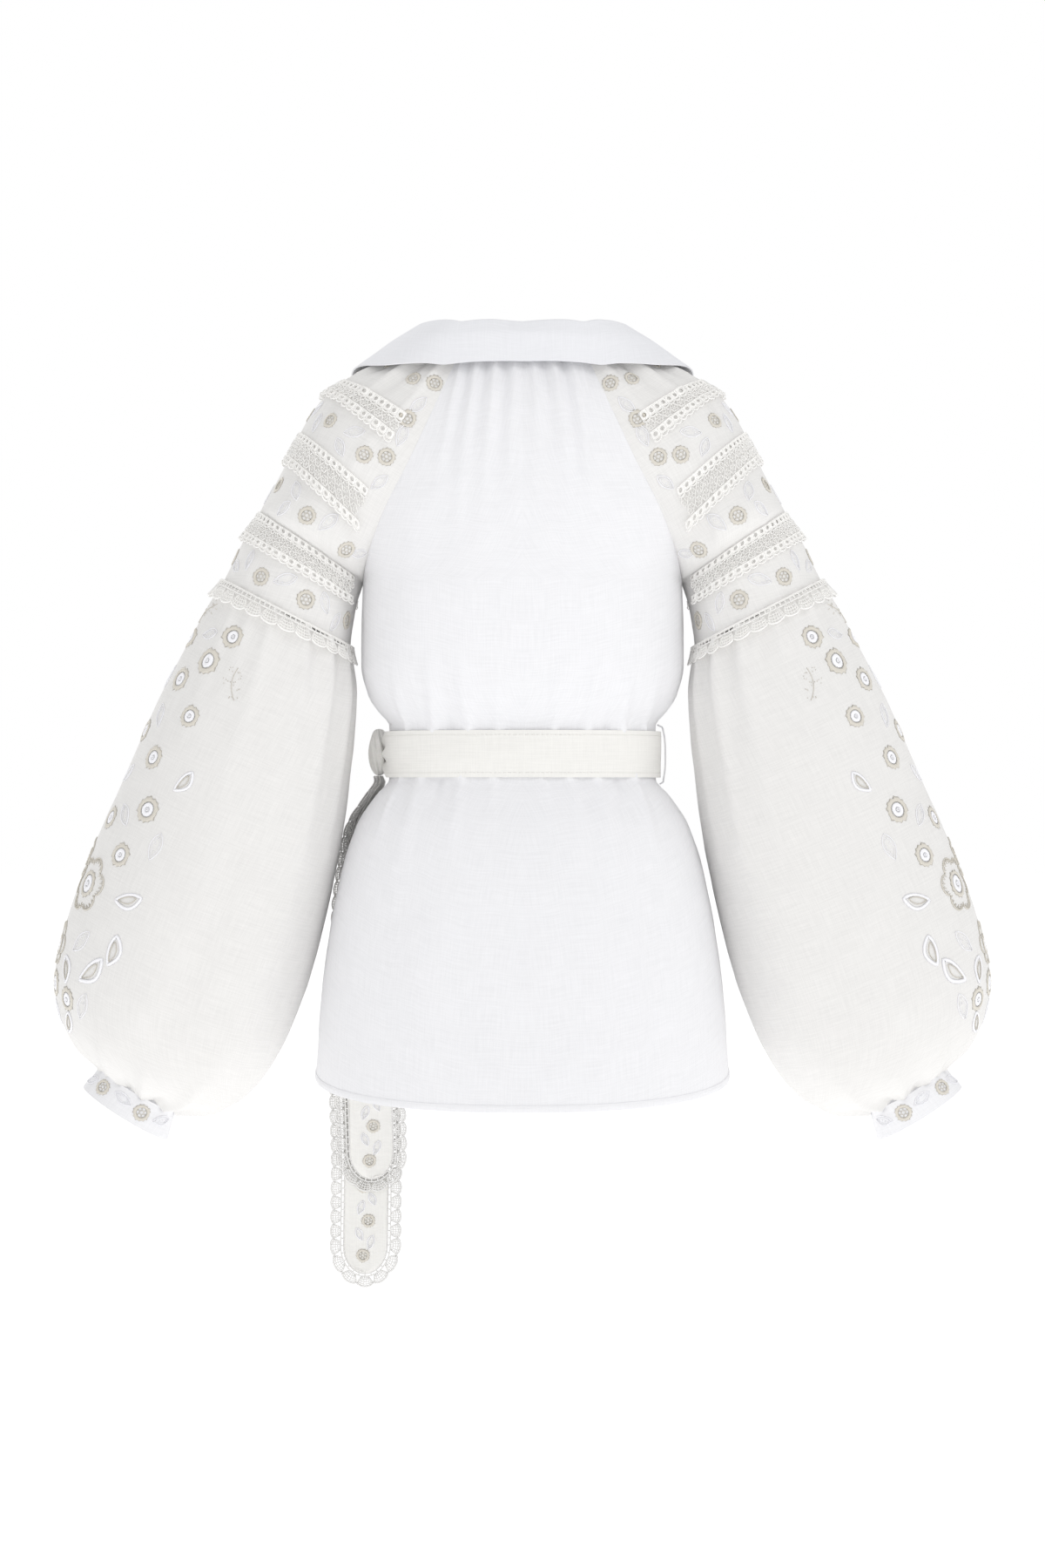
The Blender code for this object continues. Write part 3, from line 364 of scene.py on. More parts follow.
# Embroidery: the motif, its place on the sleeve, its turn in degrees and its size in millimetres
Motif = namedtuple("Motif", "kind across down turn size")
TIER_MOTIFS = tuple(Motif(*row) for row in (
    ("ring", 0.13, 0.62, 0, 8.0),
    ("ring", 0.31, 0.50, 0, 8.0),
    ("ring", 0.47, 0.66, 0, 8.0),
    ("ring", 0.66, 0.55, 0, 8.0),
    ("ring", 0.85, 0.62, 0, 8.0),
    ("ring", 0.12, 2.52, 0, 9.0),
    ("leaf", 0.18, 2.30, 40, 12.0),
    ("leaf", 0.20, 2.72, 150, 11.0),
    ("ring", 0.28, 2.42, 0, 8.5),
    ("leaf", 0.34, 2.62, 110, 12.0),
    ("leaf", 0.40, 2.35, 60, 11.0),
    ("ring", 0.47, 2.50, 0, 8.5),
    ("leaf", 0.54, 2.62, 120, 12.0),
    ("ring", 0.63, 2.42, 0, 8.5),
    ("leaf", 0.70, 2.60, 70, 12.0),
    ("leaf", 0.76, 2.34, 30, 11.0),
    ("ring", 0.86, 2.52, 0, 9.0),
    ("leaf", 0.05, 4.40, 30, 11.0),
    ("ring", 0.10, 4.55, 0, 9.5),
    ("leaf", 0.17, 4.32, 80, 13.0),
    ("ring", 0.24, 4.52, 0, 9.5),
    ("leaf", 0.30, 4.28, 140, 12.0),
    ("leaf", 0.32, 4.68, 60, 12.0),
    ("ring", 0.40, 4.40, 0, 9.0),
    ("leaf", 0.46, 4.62, 100, 12.0),
    ("ring", 0.53, 4.40, 0, 9.0),
    ("leaf", 0.60, 4.60, 30, 12.0),
    ("leaf", 0.66, 4.32, 120, 12.0),
    ("ring", 0.72, 4.55, 0, 9.5),
    ("leaf", 0.79, 4.34, 60, 13.0),
    ("ring", 0.88, 4.50, 0, 9.5),
    ("leaf", 0.95, 4.40, 150, 11.0),
    ("ring", 0.06, 6.42, 0, 9.5),
    ("leaf", 0.11, 6.62, 70, 12.0),
    ("leaf", 0.15, 6.32, 130, 12.0),
    ("ring", 0.20, 6.50, 0, 10.0),
    ("leaf", 0.26, 6.32, 40, 13.0),
    ("ring", 0.32, 6.55, 0, 9.5),
    ("leaf", 0.37, 6.34, 100, 12.0),
    ("leaf", 0.42, 6.60, 160, 12.0),
    ("ring", 0.47, 6.42, 0, 9.5),
    ("leaf", 0.53, 6.58, 60, 12.0),
    ("ring", 0.59, 6.42, 0, 9.5),
    ("leaf", 0.65, 6.60, 120, 12.0),
    ("ring", 0.71, 6.50, 0, 10.0),
    ("leaf", 0.77, 6.34, 30, 13.0),
    ("leaf", 0.81, 6.62, 90, 12.0),
    ("ring", 0.87, 6.46, 0, 9.5),
    ("leaf", 0.94, 6.40, 140, 12.0),
))
BORDER_MOTIFS = tuple(Motif(*row) for row in (
    ("ring", 0.040, 0.55, 0, 8.5),
    ("leaf", 0.052, 0.90, 75, 11.5),
    ("ring", 0.060, 1.22, 0, 9.0),
    ("leaf", 0.050, 1.62, 105, 12.0),
    ("ring", 0.060, 2.25, 0, 9.0),
    ("leaf", 0.048, 2.74, 80, 11.0),
))
BALLOON_MOTIFS = tuple(Motif(*row) for row in (
    ("spray", 0.44, 7.62, 60, 13.0),
    ("blossom", 0.33, 7.85, 0, 11.0),
    ("leaf", 0.39, 7.95, 20, 13.0),
    ("blossom", 0.45, 8.12, 0, 11.0),
    ("blossom", 0.36, 8.32, 0, 13.0),
    ("spray", 0.30, 8.45, 110, 15.0),
    ("blossom", 0.41, 8.68, 0, 12.0),
    ("leaf", 0.47, 8.72, 80, 14.0),
    ("blossom", 0.35, 9.02, 0, 10.5),
    ("leaf", 0.42, 9.18, 120, 14.0),
    ("blossom", 0.46, 9.42, 0, 11.5),
    ("blossom", 0.39, 9.62, 0, 11.5),
    ("bud", 0.32, 9.68, 70, 22.0),
    ("leaf", 0.45, 9.92, 50, 14.0),
    ("blossom", 0.36, 10.14, 0, 12.5),
    ("leaf", 0.40, 10.32, 140, 14.0),
    ("blossom", 0.44, 10.44, 0, 11.5),
    ("leaf", 0.325, 10.44, 95, 15.0),
    ("blossom", 0.375, 10.72, 0, 11.5),
    ("flower", 0.425, 11.22, 15, 27.0),
    ("bud", 0.335, 11.10, 30, 26.0),
    ("bud", 0.330, 11.72, 100, 26.0),
    ("flower", 0.485, 10.98, 40, 19.0),
    ("leaf", 0.39, 11.88, 60, 16.0),
    ("bud", 0.355, 12.20, 60, 30.0),
    ("flower", 0.470, 12.20, 70, 21.0),
    ("bud", 0.410, 12.52, 125, 24.0),
    ("blossom", 0.450, 13.05, 0, 13.0),
    ("blossom", 0.395, 13.20, 0, 11.5),
    ("leaf", 0.355, 13.10, 90, 15.0),
    ("bud", 0.400, 13.95, 75, 22.0),
    ("leaf", 0.450, 13.90, 110, 14.0),
))
FRONT_BALLOON_MOTIFS = tuple(
    Motif(motif.kind, 1.0 - motif.across * 0.98, motif.down + 0.16, motif.turn + 65, motif.size * 0.96)
    for motif in BALLOON_MOTIFS if motif.across < 0.465)
CUFF_MOTIFS = tuple(Motif(*row) for row in (
    ("leaf", 0.10, 16.52, 20, 11.0),
    ("ring", 0.19, 16.55, 0, 9.0),
    ("leaf", 0.27, 16.45, 170, 11.0),
    ("ring", 0.36, 16.50, 0, 8.5),
    ("leaf", 0.44, 16.55, 30, 11.0),
    ("ring", 0.62, 16.50, 0, 8.5),
    ("leaf", 0.71, 16.50, 160, 11.0),
    ("ring", 0.82, 16.52, 0, 9.0),
    ("leaf", 0.91, 16.50, 20, 11.0),
))


class Curve:
    """A smooth curve through one column of a table, with no overshoot."""

    def __init__(self, rows, key, column):
        marks = np.array([getattr(row, key) for row in rows], dtype=float)
        values = np.array([getattr(row, column) for row in rows], dtype=float)
        order = np.argsort(marks)
        marks, values = marks[order], values[order]
        steps = np.diff(marks)
        rises = np.diff(values) / steps
        slopes = np.empty(len(marks))
        slopes[0], slopes[-1] = rises[0], rises[-1]
        product = rises[:-1] * rises[1:]
        total = rises[:-1] + rises[1:]
        slopes[1:-1] = np.where(product > 0.0, 2.0 * product / np.where(total == 0.0, 1.0, total), 0.0)
        self.marks = np.linspace(marks[0], marks[-1], 1201)
        index = np.clip(np.searchsorted(marks, self.marks, side="right") - 1, 0, len(steps) - 1)
        share = (self.marks - marks[index]) / steps[index]
        square, cube = share ** 2, share ** 3
        self.values = (
            (2 * cube - 3 * square + 1) * values[index]
            + (cube - 2 * square + share) * steps[index] * slopes[index]
            + (3 * square - 2 * cube) * values[index + 1]
            + (cube - square) * steps[index] * slopes[index + 1]
        )

    def __call__(self, value):
        return np.interp(value, self.marks, self.values)


HALF_WIDTH = Curve(BODY, "height", "half_width")
BACK_DEPTH = Curve(BODY, "height", "back_depth")
FRONT_DEPTH = Curve(BODY, "height", "front_depth")
SLEEVE_CURVES = {name: Curve(SLEEVE, "station", name) for name in SleeveSection._fields[1:]}
COLLAR_CURVES = {name: Curve(COLLAR, "place", name) for name in CollarSection._fields[1:]}
SASH_CURVES = {name: Curve(SASH, "height", name) for name in SashSection._fields[1:]}
PANEL_CURVES = {name: Curve(PANEL_ROWS, "row", name) for name in ("back_height", "edge_x", "edge_height")}
PANEL_CURVES["station"] = Curve(PANEL_ROWS[:7], "row", "station")
PANEL_CURVES["side_height"] = Curve(PANEL_ROWS[6:], "row", "side_height")


def signed_power(value, power):
    """A power of a number's size, with the number's sign."""
    return np.sign(value) * np.abs(value) ** power


def smooth(start, end, value):
    """Rise smoothly from 0 at start to 1 at end."""
    share = np.clip((value - start) / (end - start), 0.0, 1.0)
    return share * share * (3.0 - 2.0 * share)


def relax(values, times):
    """Smooth rows of values between their ends, with their neighbours."""
    for _ in range(times):
        values[1:-1] = (values[:-2] + 2.0 * values[1:-1] + values[2:]) / 4.0


def unit(vectors):
    """Vectors of length 1."""
    return vectors / np.maximum(np.linalg.norm(vectors, axis=-1, keepdims=True), 1e-12)


def stack(*values):
    """Points from their three coordinates."""
    return np.stack(np.broadcast_arrays(*values), axis=-1).astype(float)


def body_point(angle, height, out=0.0):
    """Points of the body's form. Angle 0 is the centre back and 90 degrees the left side."""
    angle, height, out = np.broadcast_arrays(angle, height, out)
    half_width = HALF_WIDTH(height)
    depth = np.where(np.cos(angle) >= 0.0, BACK_DEPTH(height), FRONT_DEPTH(height))
    power = 2.0 / BODY_ROUNDNESS
    point = stack(half_width * signed_power(np.sin(angle), power),
                  depth * signed_power(np.cos(angle), power), height)
    normal = unit(stack(signed_power(np.sin(angle), 2.0 - power) / half_width,
                        signed_power(np.cos(angle), 2.0 - power) / depth, 0.0 * height))
    return point + normal * out[..., None]


def angle_at(x, height):
    """The angle from the centre at which the body's form has this x."""
    share = np.minimum(np.abs(x) / HALF_WIDTH(height), 1.0)
    return np.sign(x) * np.arcsin(share ** (BODY_ROUNDNESS / 2.0))


def raglan_point(station, side):
    """Points of the left raglan seam, on the back or the front."""
    x = SLEEVE_CURVES[side + "_x"](station)
    height = SLEEVE_CURVES[side + "_height"](station)
    angle = angle_at(x, height)
    if side == "front":
        angle = math.pi - angle
    closed = stack(x, 0.0 * x, height)
    return np.where(np.asarray(station)[..., None] >= UNDERARM, closed, body_point(angle, height))


def sleeve_base(station, turn):
    """Points of the left sleeve's form, with the turn going from the back seam to the front."""
    station, turn = np.broadcast_arrays(np.asarray(station, float), np.asarray(turn, float))
    back = raglan_point(station, "back")
    front = raglan_point(station, "front")
    outer = stack(SLEEVE_CURVES["outer_x"](station), 0.0 * station, SLEEVE_CURVES["outer_height"](station))
    middle = (back + front) / 2.0
    tau = math.pi * turn
    rise = np.maximum(np.sin(tau), 0.0) ** SLEEVE_CURVES["roundness"](station)
    point = middle + (back - front) / 2.0 * np.cos(tau)[..., None] + (outer - middle) * rise[..., None]
    point[..., 1] += SLEEVE_CURVES["bulge"](station) * np.sin(2.0 * tau)
    return point


class Cloth:
    """A grid of points on cloth, with places across and down it and its outward directions."""

    def __init__(self, across, down, points, outward):
        self.across, self.down, self.points = across, down, points
        self.outward = outward
        self.by_across = np.gradient(points, across, axis=1)
        self.by_down = np.gradient(points, down, axis=0)
        normals = unit(np.cross(self.by_across, self.by_down))
        if np.sum(normals * outward(points)) < 0.0:
            normals = -normals
        self.normals = normals

    def moved(self, field):
        """The same cloth, moved out by a field of distances."""
        return Cloth(self.across, self.down, self.points + self.normals * field[..., None], self.outward)

    def read(self, grid, u, v):
        """Read a grid of vectors at places across and down."""
        column = np.interp(u, self.across, np.arange(len(self.across)))
        row = np.interp(v, self.down, np.arange(len(self.down)))
        left = np.minimum(column.astype(int), len(self.across) - 2)
        upper = np.minimum(row.astype(int), len(self.down) - 2)
        right_share = (column - left)[..., None]
        lower_share = (row - upper)[..., None]
        top = grid[upper, left] * (1 - right_share) + grid[upper, left + 1] * right_share
        low = grid[upper + 1, left] * (1 - right_share) + grid[upper + 1, left + 1] * right_share
        return top * (1 - lower_share) + low * lower_share

    def at(self, u, v, out=0.0):
        """Points at places across and down, moved out, and the outward directions there."""
        u, v, out = np.broadcast_arrays(np.asarray(u, float), np.asarray(v, float), np.asarray(out, float))
        normal = unit(self.read(self.normals, u, v))
        return self.read(self.points, u, v) + normal * out[..., None], normal

    def spot(self, u, v, turn=0.0):
        """A flat pattern's place: a function from steps in metres on it to points."""
        place_u, place_v = np.array([float(u)]), np.array([float(v)])
        step_u = self.read(self.by_across, place_u, place_v)[0]
        step_v = self.read(self.by_down, place_u, place_v)[0]
        right = unit(step_u)
        normal = unit(self.read(self.normals, place_u, place_v))[0]
        lower = unit(np.cross(normal, right))
        if np.dot(lower, step_v) < 0.0:
            lower = -lower
        matrix = np.linalg.inv(np.array([
            [np.dot(step_u, right), np.dot(step_v, right)],
            [np.dot(step_u, lower), np.dot(step_v, lower)],
        ]))
        cosine, sine = math.cos(turn), math.sin(turn)

        def lay(x, y, out=0.0):
            x, y = np.broadcast_arrays(np.asarray(x, float), np.asarray(y, float))
            turned_x, turned_y = x * cosine - y * sine, x * sine + y * cosine
            du = matrix[0, 0] * turned_x + matrix[0, 1] * turned_y
            dv = matrix[1, 0] * turned_x + matrix[1, 1] * turned_y
            return self.at(u + du, v + dv, out)

        return lay


def other_side(cloth, thickness):
    """The same cloth, seen from its other side."""
    points = cloth.points - cloth.normals * thickness
    return Cloth(cloth.across, cloth.down, points, lambda grid: -cloth.outward(grid))


def fold_field(across, down, scale, folds):
    """How far the folds move each place out, with the metres in a step across."""
    field = np.zeros(across.shape)
    for fold in folds:
        share = (down - fold.down) / (fold.down_end - fold.down)
        inside = (share > -0.04) & (share < 1.0)
        share = np.clip(share, 0.0, 1.0)
        middle = fold.across + (fold.across_end - fold.across) * share
        middle = middle + fold.bend * 4.0 * share * (1.0 - share)
        width = fold.width * (0.75 + 0.7 * share)
        if fold.held:
            strength = 1.0 - smooth(0.1, 1.0, share)
        else:
            width = fold.width
            strength = np.sin(math.pi * share)
        distance = (across - middle) * scale
        field += np.where(inside, strength * fold.depth * np.exp(-(distance / width) ** 2), 0.0)
    return field


def unevenness(points, size):
    """A soft unevenness that pressed cloth keeps, from a few slow waves in space."""
    x, y, z = points[..., 0], points[..., 1], points[..., 2]
    waves = (
        np.sin(61.0 * x + 23.0 * z + 1.3) * np.sin(37.0 * z - 19.0 * y + 0.4)
        + 0.6 * np.sin(113.0 * x - 47.0 * z + 2.1) * np.sin(71.0 * z + 53.0 * y)
        + 0.35 * np.sin(197.0 * x + 151.0 * y + 0.7) * np.sin(163.0 * z + 1.9)
    )
    return size * waves


def from_axis(points):
    """Directions out from the body's centre line."""
    return points * np.array([1.0, 1.0, 0.0])


def from_sleeve(points):
    """Directions out from the middle of the left sleeve's grid, row by row."""
    return points - points.mean(axis=1, keepdims=True)


def on_side(points, side):
    """Points of the left side, or the same points on the right."""
    return points * np.array([side, 1.0, 1.0])


def ring_faces(rows, following, sides):
    """Faces between rings of points and the rings that follow them, with so many points to a ring."""
    faces = []
    for side in range(sides):
        after = (side + 1) % sides
        faces.append(np.stack([rows * sides + side, following * sides + side,
                               following * sides + after, rows * sides + after], axis=1))
    return np.concatenate(faces)


class Threads:
    """Cords and satin stitches, gathered into one mesh."""

    def __init__(self, side=1.0):
        self.side = side
        self.points = []
        self.faces = []
        self.slots = []
        self.count = 0

    def add(self, points, faces, slot=0):
        """Add points and faces that number them from 0."""
        points = np.asarray(points).reshape(-1, 3)
        self.points.append(points)
        self.faces.append(np.asarray(faces, dtype=int) + self.count)
        self.slots.append(np.full(len(faces), slot))
        self.count += len(points)

    def cord(self, placed, width, height, closed=False, slot=0):
        """A cord along placed points with their normals: four sided, with its crest outwards."""
        path, normals = placed
        if closed:
            tangent = unit(np.roll(path, -1, axis=0) - np.roll(path, 1, axis=0))
        else:
            tangent = unit(np.gradient(path, axis=0))
        side = unit(np.cross(tangent, normals))
        width = np.broadcast_to(np.asarray(width, float), (len(path),))[:, None] / 2.0
        ring = np.stack([path - side * width, path + normals * height,
                         path + side * width, path - normals * height * 0.3], axis=1)
        count = len(path)
        rows = np.arange(count if closed else count - 1)
        faces = ring_faces(rows, (rows + 1) % count, 4)
        if not closed:
            last = (count - 1) * 4
            faces = np.concatenate([faces, [[0, 1, 2, 3], [last + 3, last + 2, last + 1, last]]])
        self.add(ring, faces, slot)

    def satin_ring(self, lay, inner, outer, height, stitches=28, jag=0.09, lobes=0, slot=0):
        """A ring of radial satin stitches with a broken outer edge."""
        angle = np.linspace(0.0, 2.0 * math.pi, stitches, endpoint=False)
        ragged = 1.0 + jag * np.where(np.arange(stitches) % 2 == 0, 1.0, -0.4)
        ragged = ragged + 0.4 * jag * np.sin(angle * 5.0 + 1.0)
        if lobes:
            ragged = ragged + 0.10 * np.abs(np.sin(angle * lobes / 2.0)) - 0.05
        crest = height * np.where(np.arange(stitches) % 2 == 0, 1.0, 0.72)
        rims = ((inner, 0.25 * crest), (inner + (outer - inner) * 0.35, crest),
                (inner + (outer - inner) * 0.75, 0.9 * crest), (outer * ragged, 0.0 * crest),
                (inner + (outer - inner) * 0.5, -0.2 * crest))
        points = []
        for radius, out in rims:
            laid, _ = lay(radius * np.cos(angle), radius * np.sin(angle), out + 0.0002)
            points.append(laid)
        ring = np.stack(points, axis=1)
        rows = np.arange(stitches)
        self.add(ring, ring_faces(rows, (rows + 1) % stitches, len(rims)), slot)

    def make(self, name, finishes):
        """The mesh object of all that was gathered."""
        points = on_side(np.concatenate(self.points), self.side)
        faces = np.concatenate(self.faces)
        if self.side < 0:
            faces = faces[:, ::-1]
        mesh = bpy.data.meshes.new(name)
        mesh.from_pydata(points.tolist(), [], faces.tolist())
        mesh.update()
        for finish in finishes:
            mesh.materials.append(finish)
        mesh.polygons.foreach_set("material_index", np.concatenate(self.slots).astype(np.int32))
        work = bmesh.new()
        work.from_mesh(mesh)
        bmesh.ops.recalc_face_normals(work, faces=work.faces)
        work.to_mesh(mesh)
        work.free()
        mesh.shade_smooth()
        made = bpy.data.objects.new(name, mesh)
        bpy.context.scene.collection.objects.link(made)
        return made


class Shade:
    """One socket of a shader, so that sums on it add their Math nodes."""

    def __init__(self, recipe, socket):
        self.recipe = recipe
        self.socket = socket

    def math(self, operation, first, second):
        return self.recipe.node("ShaderNodeMath", {"operation": operation}, {0: first, 1: second})

    def __add__(self, other):
        return self.math("ADD", self, other)

    __radd__ = __add__

    def __mul__(self, other):
        return self.math("MULTIPLY", self, other)

    __rmul__ = __mul__

    def __sub__(self, other):
        return self.math("SUBTRACT", self, other)

    def __rsub__(self, other):
        return self.math("SUBTRACT", other, self)


class Recipe:
    """The node tree of one finish."""

    def __init__(self, name):
        self.material = bpy.data.materials.new(name)
        self.material.use_nodes = True
        self.tree = self.material.node_tree
        self.tree.nodes.clear()

    def node(self, kind, settings=None, values=None, output=0):
        """Add a node with its settings and its inputs, and give one of its outputs."""
        made = self.tree.nodes.new(kind)
        for key, value in (settings or {}).items():
            setattr(made, key, value)
        for key, value in (values or {}).items():
            if isinstance(value, Shade):
                self.tree.links.new(value.socket, made.inputs[key])
            else:
                made.inputs[key].default_value = value
        return Shade(self, made.outputs[output]) if len(made.outputs) else None

    def scaled(self, vector, across, down):
        """A vector with its steps across and down multiplied."""
        return self.node("ShaderNodeVectorMath", {"operation": "MULTIPLY"},
                         {0: vector, 1: (across, down, 1.0)})

    def mix(self, share, first, second):
        """A colour between two."""
        return self.node("ShaderNodeMix", {"data_type": "RGBA"}, {0: share, 6: first, 7: second}, 2)

    def noise(self, vector, scale, detail=3.0, roughness=0.6, dimensions="2D"):
        """Uneven noise, on a surface or in space."""
        return self.node("ShaderNodeTexNoise", {"noise_dimensions": dimensions}, {
            "Vector": vector, "Scale": scale, "Detail": detail, "Roughness": roughness})

    def finished(self, values):
        """The material, from its shader's values."""
        shader = self.node("ShaderNodeBsdfPrincipled", None, values)
        self.node("ShaderNodeOutputMaterial", None, {"Surface": shader})
        return self.material


def shade_of(colour, share):
    """A colour made darker or lighter."""
    return tuple(min(value * share, 1.0) for value in colour[:3]) + (1.0,)


def woven_finish(name, colour, streak, relief, pitch, roughness, sheen):
    """Plain weave: uneven threads both ways, in colour and in relief."""
    recipe = Recipe(name)
    cloth = recipe.node("ShaderNodeUVMap", {"uv_map": "cloth"})
    warp = recipe.noise(recipe.scaled(cloth, 0.9 / pitch, 38.0), 1.0)
    weft = recipe.noise(recipe.scaled(cloth, 30.0, 0.9 / pitch), 1.0)
    cloud = recipe.noise(cloth, 22.0, 2.0, 0.5)
    turns = 2.0 * math.pi / pitch
    over, under = [
        recipe.node("ShaderNodeMath", {"operation": "SINE"}, {
            0: recipe.node("ShaderNodeSeparateXYZ", None, {0: cloth}, axis) * turns})
        for axis in (0, 1)]
    thread = over * under
    uneven = warp * 0.5 + weft * 0.5
    darker = shade_of(colour, 1.0 - streak)
    lighter = shade_of(colour, 1.0 + streak * 0.6)
    contrast = recipe.node("ShaderNodeMapRange", {"clamp": True}, {
        0: uneven + cloud * 0.12 + thread * 0.05, 1: 0.38, 2: 0.74, 3: 0.0, 4: 1.0})
    tone = recipe.mix(contrast, darker, lighter)
    bump = recipe.node("ShaderNodeBump", None, {
        "Height": uneven + thread * 0.22, "Strength": relief, "Distance": 0.0006})
    return recipe.finished({
        "Base Color": tone, "Roughness": roughness, "Sheen Weight": sheen, "Sheen Roughness": 0.5,
        "Normal": bump, "Specular IOR Level": 0.25})


def thread_finish(name, colour, streak, scale, roughness, painted_light):
    """Embroidery or lace thread, with fine uneven strands and a painted glow that brightens it."""
    recipe = Recipe(name)
    place = recipe.node("ShaderNodeTexCoord", None, None, 3)
    strands = recipe.noise(place, scale, dimensions="3D")
    darker = shade_of(colour, 1.0 - streak)
    tone = recipe.mix(strands, darker, shade_of(colour, 1.0))
    bump = recipe.node("ShaderNodeBump", None, {"Height": strands, "Strength": 0.35, "Distance": 0.0004})
    return recipe.finished({
        "Base Color": tone, "Roughness": roughness, "Sheen Weight": 0.1,
        # Painted light: the thread glows in its own colour, which brightens it where its cords and strands
        # shade each other
        "Emission Color": tone, "Emission Strength": painted_light,
        "Normal": bump, "Specular IOR Level": 0.3})


# Woven finishes: the colour's name in the panel, streak, relief, roughness and sheen
WOVEN = {
    "white_linen": ("linen", 0.045, 0.30, 0.85, 0.08),
    "collar_linen": ("collar", 0.035, 0.22, 0.8, 0.06),
    "ivory_voile": ("voile", 0.055, 0.30, 0.85, 0.10),
    "sash_linen": ("sash", 0.045, 0.25, 0.8, 0.06),
}
# Thread finishes: the material's name, the colour's, streak, scale, roughness and painted light, an emission
# strength that brightens the thread where its strands shade each other
THREAD = {
    "ivory_lace": ("ivory_lace_thread", "lace", 0.05, 900.0, 0.8, 0.12),
    "sash_lace": ("sash_lace_thread", "lace", 0.16, 900.0, 0.8, 0.0),
    "beige_thread": ("beige_satin_thread", "flower", 0.16, 1200.0, 0.5, 0.0),
    "white_thread": ("white_satin_thread", "leaf", 0.05, 1200.0, 0.45, 0.10),
}
FINISHES = {}


def finish(name):
    """A finish by name, made once from the colours in the panel."""
    if name not in FINISHES:
        colours = bpy.context.scene.blouse_colours
        pitch = bpy.context.scene.blouse_sizes.thread_pitch
        if name in WOVEN:
            colour, streak, relief, roughness, sheen = WOVEN[name]
            made = woven_finish(
                name + "_weave", getattr(colours, colour), streak, relief, pitch, roughness, sheen)
        else:
            material, colour, *values = THREAD[name]
            made = thread_finish(material, getattr(colours, colour), *values)
        FINISHES[name] = made
    return FINISHES[name]


def lengths(points, axis):
    """Lengths along the grid, counted from its first row or column."""
    steps = np.linalg.norm(np.diff(points, axis=axis), axis=-1)
    start = np.zeros_like(np.take(steps, [0], axis=axis))
    return np.concatenate([start, np.cumsum(steps, axis=axis)], axis=axis)


def make_sheet(name, cloth, finish_name, thickness, side=1.0, closed=False, weld=False):
    """A thin sheet through a grid of points, with the cloth's own measures as its map."""
    points = on_side(cloth.points, side)
    normals = on_side(cloth.normals, side)
    rows, columns = points.shape[:2]
    across, down = lengths(points, 1), lengths(points, 0)
    across = across - across[:, columns // 2][:, None]
    kept = columns - 1 if closed else columns
    number = np.arange(rows * columns).reshape(rows, columns)
    names = np.arange(rows * kept).reshape(rows, kept)
    if closed:
        names = np.concatenate([names, names[:, :1]], axis=1)
    corners = [(0, 0), (0, 1), (1, 1), (1, 0)]
    last_row, last_column = rows - 1, columns - 1

    def cell(grid):
        return np.stack([grid[a:last_row + a, b:last_column + b] for a, b in corners], axis=-1).reshape(-1, 4)

    faces, places = cell(names), cell(number)
    flat = points.reshape(-1, 3)
    first = places[:, 0]
    facing = np.cross(flat[places[:, 1]] - flat[first], flat[places[:, 3]] - flat[first])
    if np.sum(facing * normals.reshape(-1, 3)[first]) < 0.0:
        faces, places = faces[:, ::-1], places[:, ::-1]
    mesh = bpy.data.meshes.new(name)
    mesh.from_pydata(points[:, :kept].reshape(-1, 3).tolist(), [], faces.tolist())
    layer = mesh.uv_layers.new(name="cloth")
    flat_map = np.stack([across.reshape(-1), -down.reshape(-1)], axis=1)[places.reshape(-1)]
    layer.data.foreach_set("uv", flat_map.astype(np.float32).reshape(-1))
    mesh.update()
    mesh.shade_smooth()
    mesh.materials.append(finish(finish_name))
    work = bmesh.new()
    work.from_mesh(mesh)
    if weld:
        bmesh.ops.remove_doubles(work, verts=work.verts, dist=0.00004)
    for edge in work.edges:
        edge.smooth = not edge.is_boundary
    work.to_mesh(mesh)
    work.free()
    made = bpy.data.objects.new(name, mesh)
    bpy.context.scene.collection.objects.link(made)
    solidify = made.modifiers.new("Cloth thickness", "SOLIDIFY")
    solidify.thickness = thickness
    solidify.offset = -1.0
    return made


def dress(piece, slot, *nodes):
    """Let a piece ride on the garment and stand for its nodes, which are hidden. Its slot is not used."""
    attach(piece, "root")
    if nodes:
        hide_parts(*nodes)


def declare(cloth, fullness=1.0, with_pieces=()):
    """Reckon a sheet's width, length and area as cut, with the gathers taken up in it; nothing is done with
    them. with_pieces is not used.
    """
    width = float(lengths(cloth.points, 1)[:, -1].max()) * fullness
    length = max(float(lengths(cloth.points, 0)[-1].max()), SMALLEST_SIDE)
    width = max(width, SMALLEST_SIDE)
    points = cloth.points
    sides = np.cross(points[1:, 1:] - points[:-1, :-1], points[1:, :-1] - points[:-1, 1:])
    area = float(np.linalg.norm(sides, axis=-1).sum() / 2.0) * fullness
    area = min(max(area, 0.31 * width * length), 0.999 * width * length)


def panel_seam(row, side):
    """The angle and the height of a panel's outer seam."""
    on_raglan = row <= SEAM_ROW
    seam = raglan_point(np.minimum(PANEL_CURVES["station"](np.minimum(row, SEAM_ROW)), 4.999), side)
    seam_angle = angle_at(seam[..., 0], seam[..., 2])
    angle = np.where(on_raglan, seam_angle, math.pi / 2.0)
    height = np.where(on_raglan, seam[..., 2], PANEL_CURVES["side_height"](np.maximum(row, SEAM_ROW)))
    return angle, height


def panel_rows():
    """Places down a panel, closer together at the waist."""
    marks = np.arange(0, 21)
    heights = -PANEL_CURVES["back_height"](marks)
    return np.interp(np.linspace(0.0, heights[-1], 158), heights, marks)


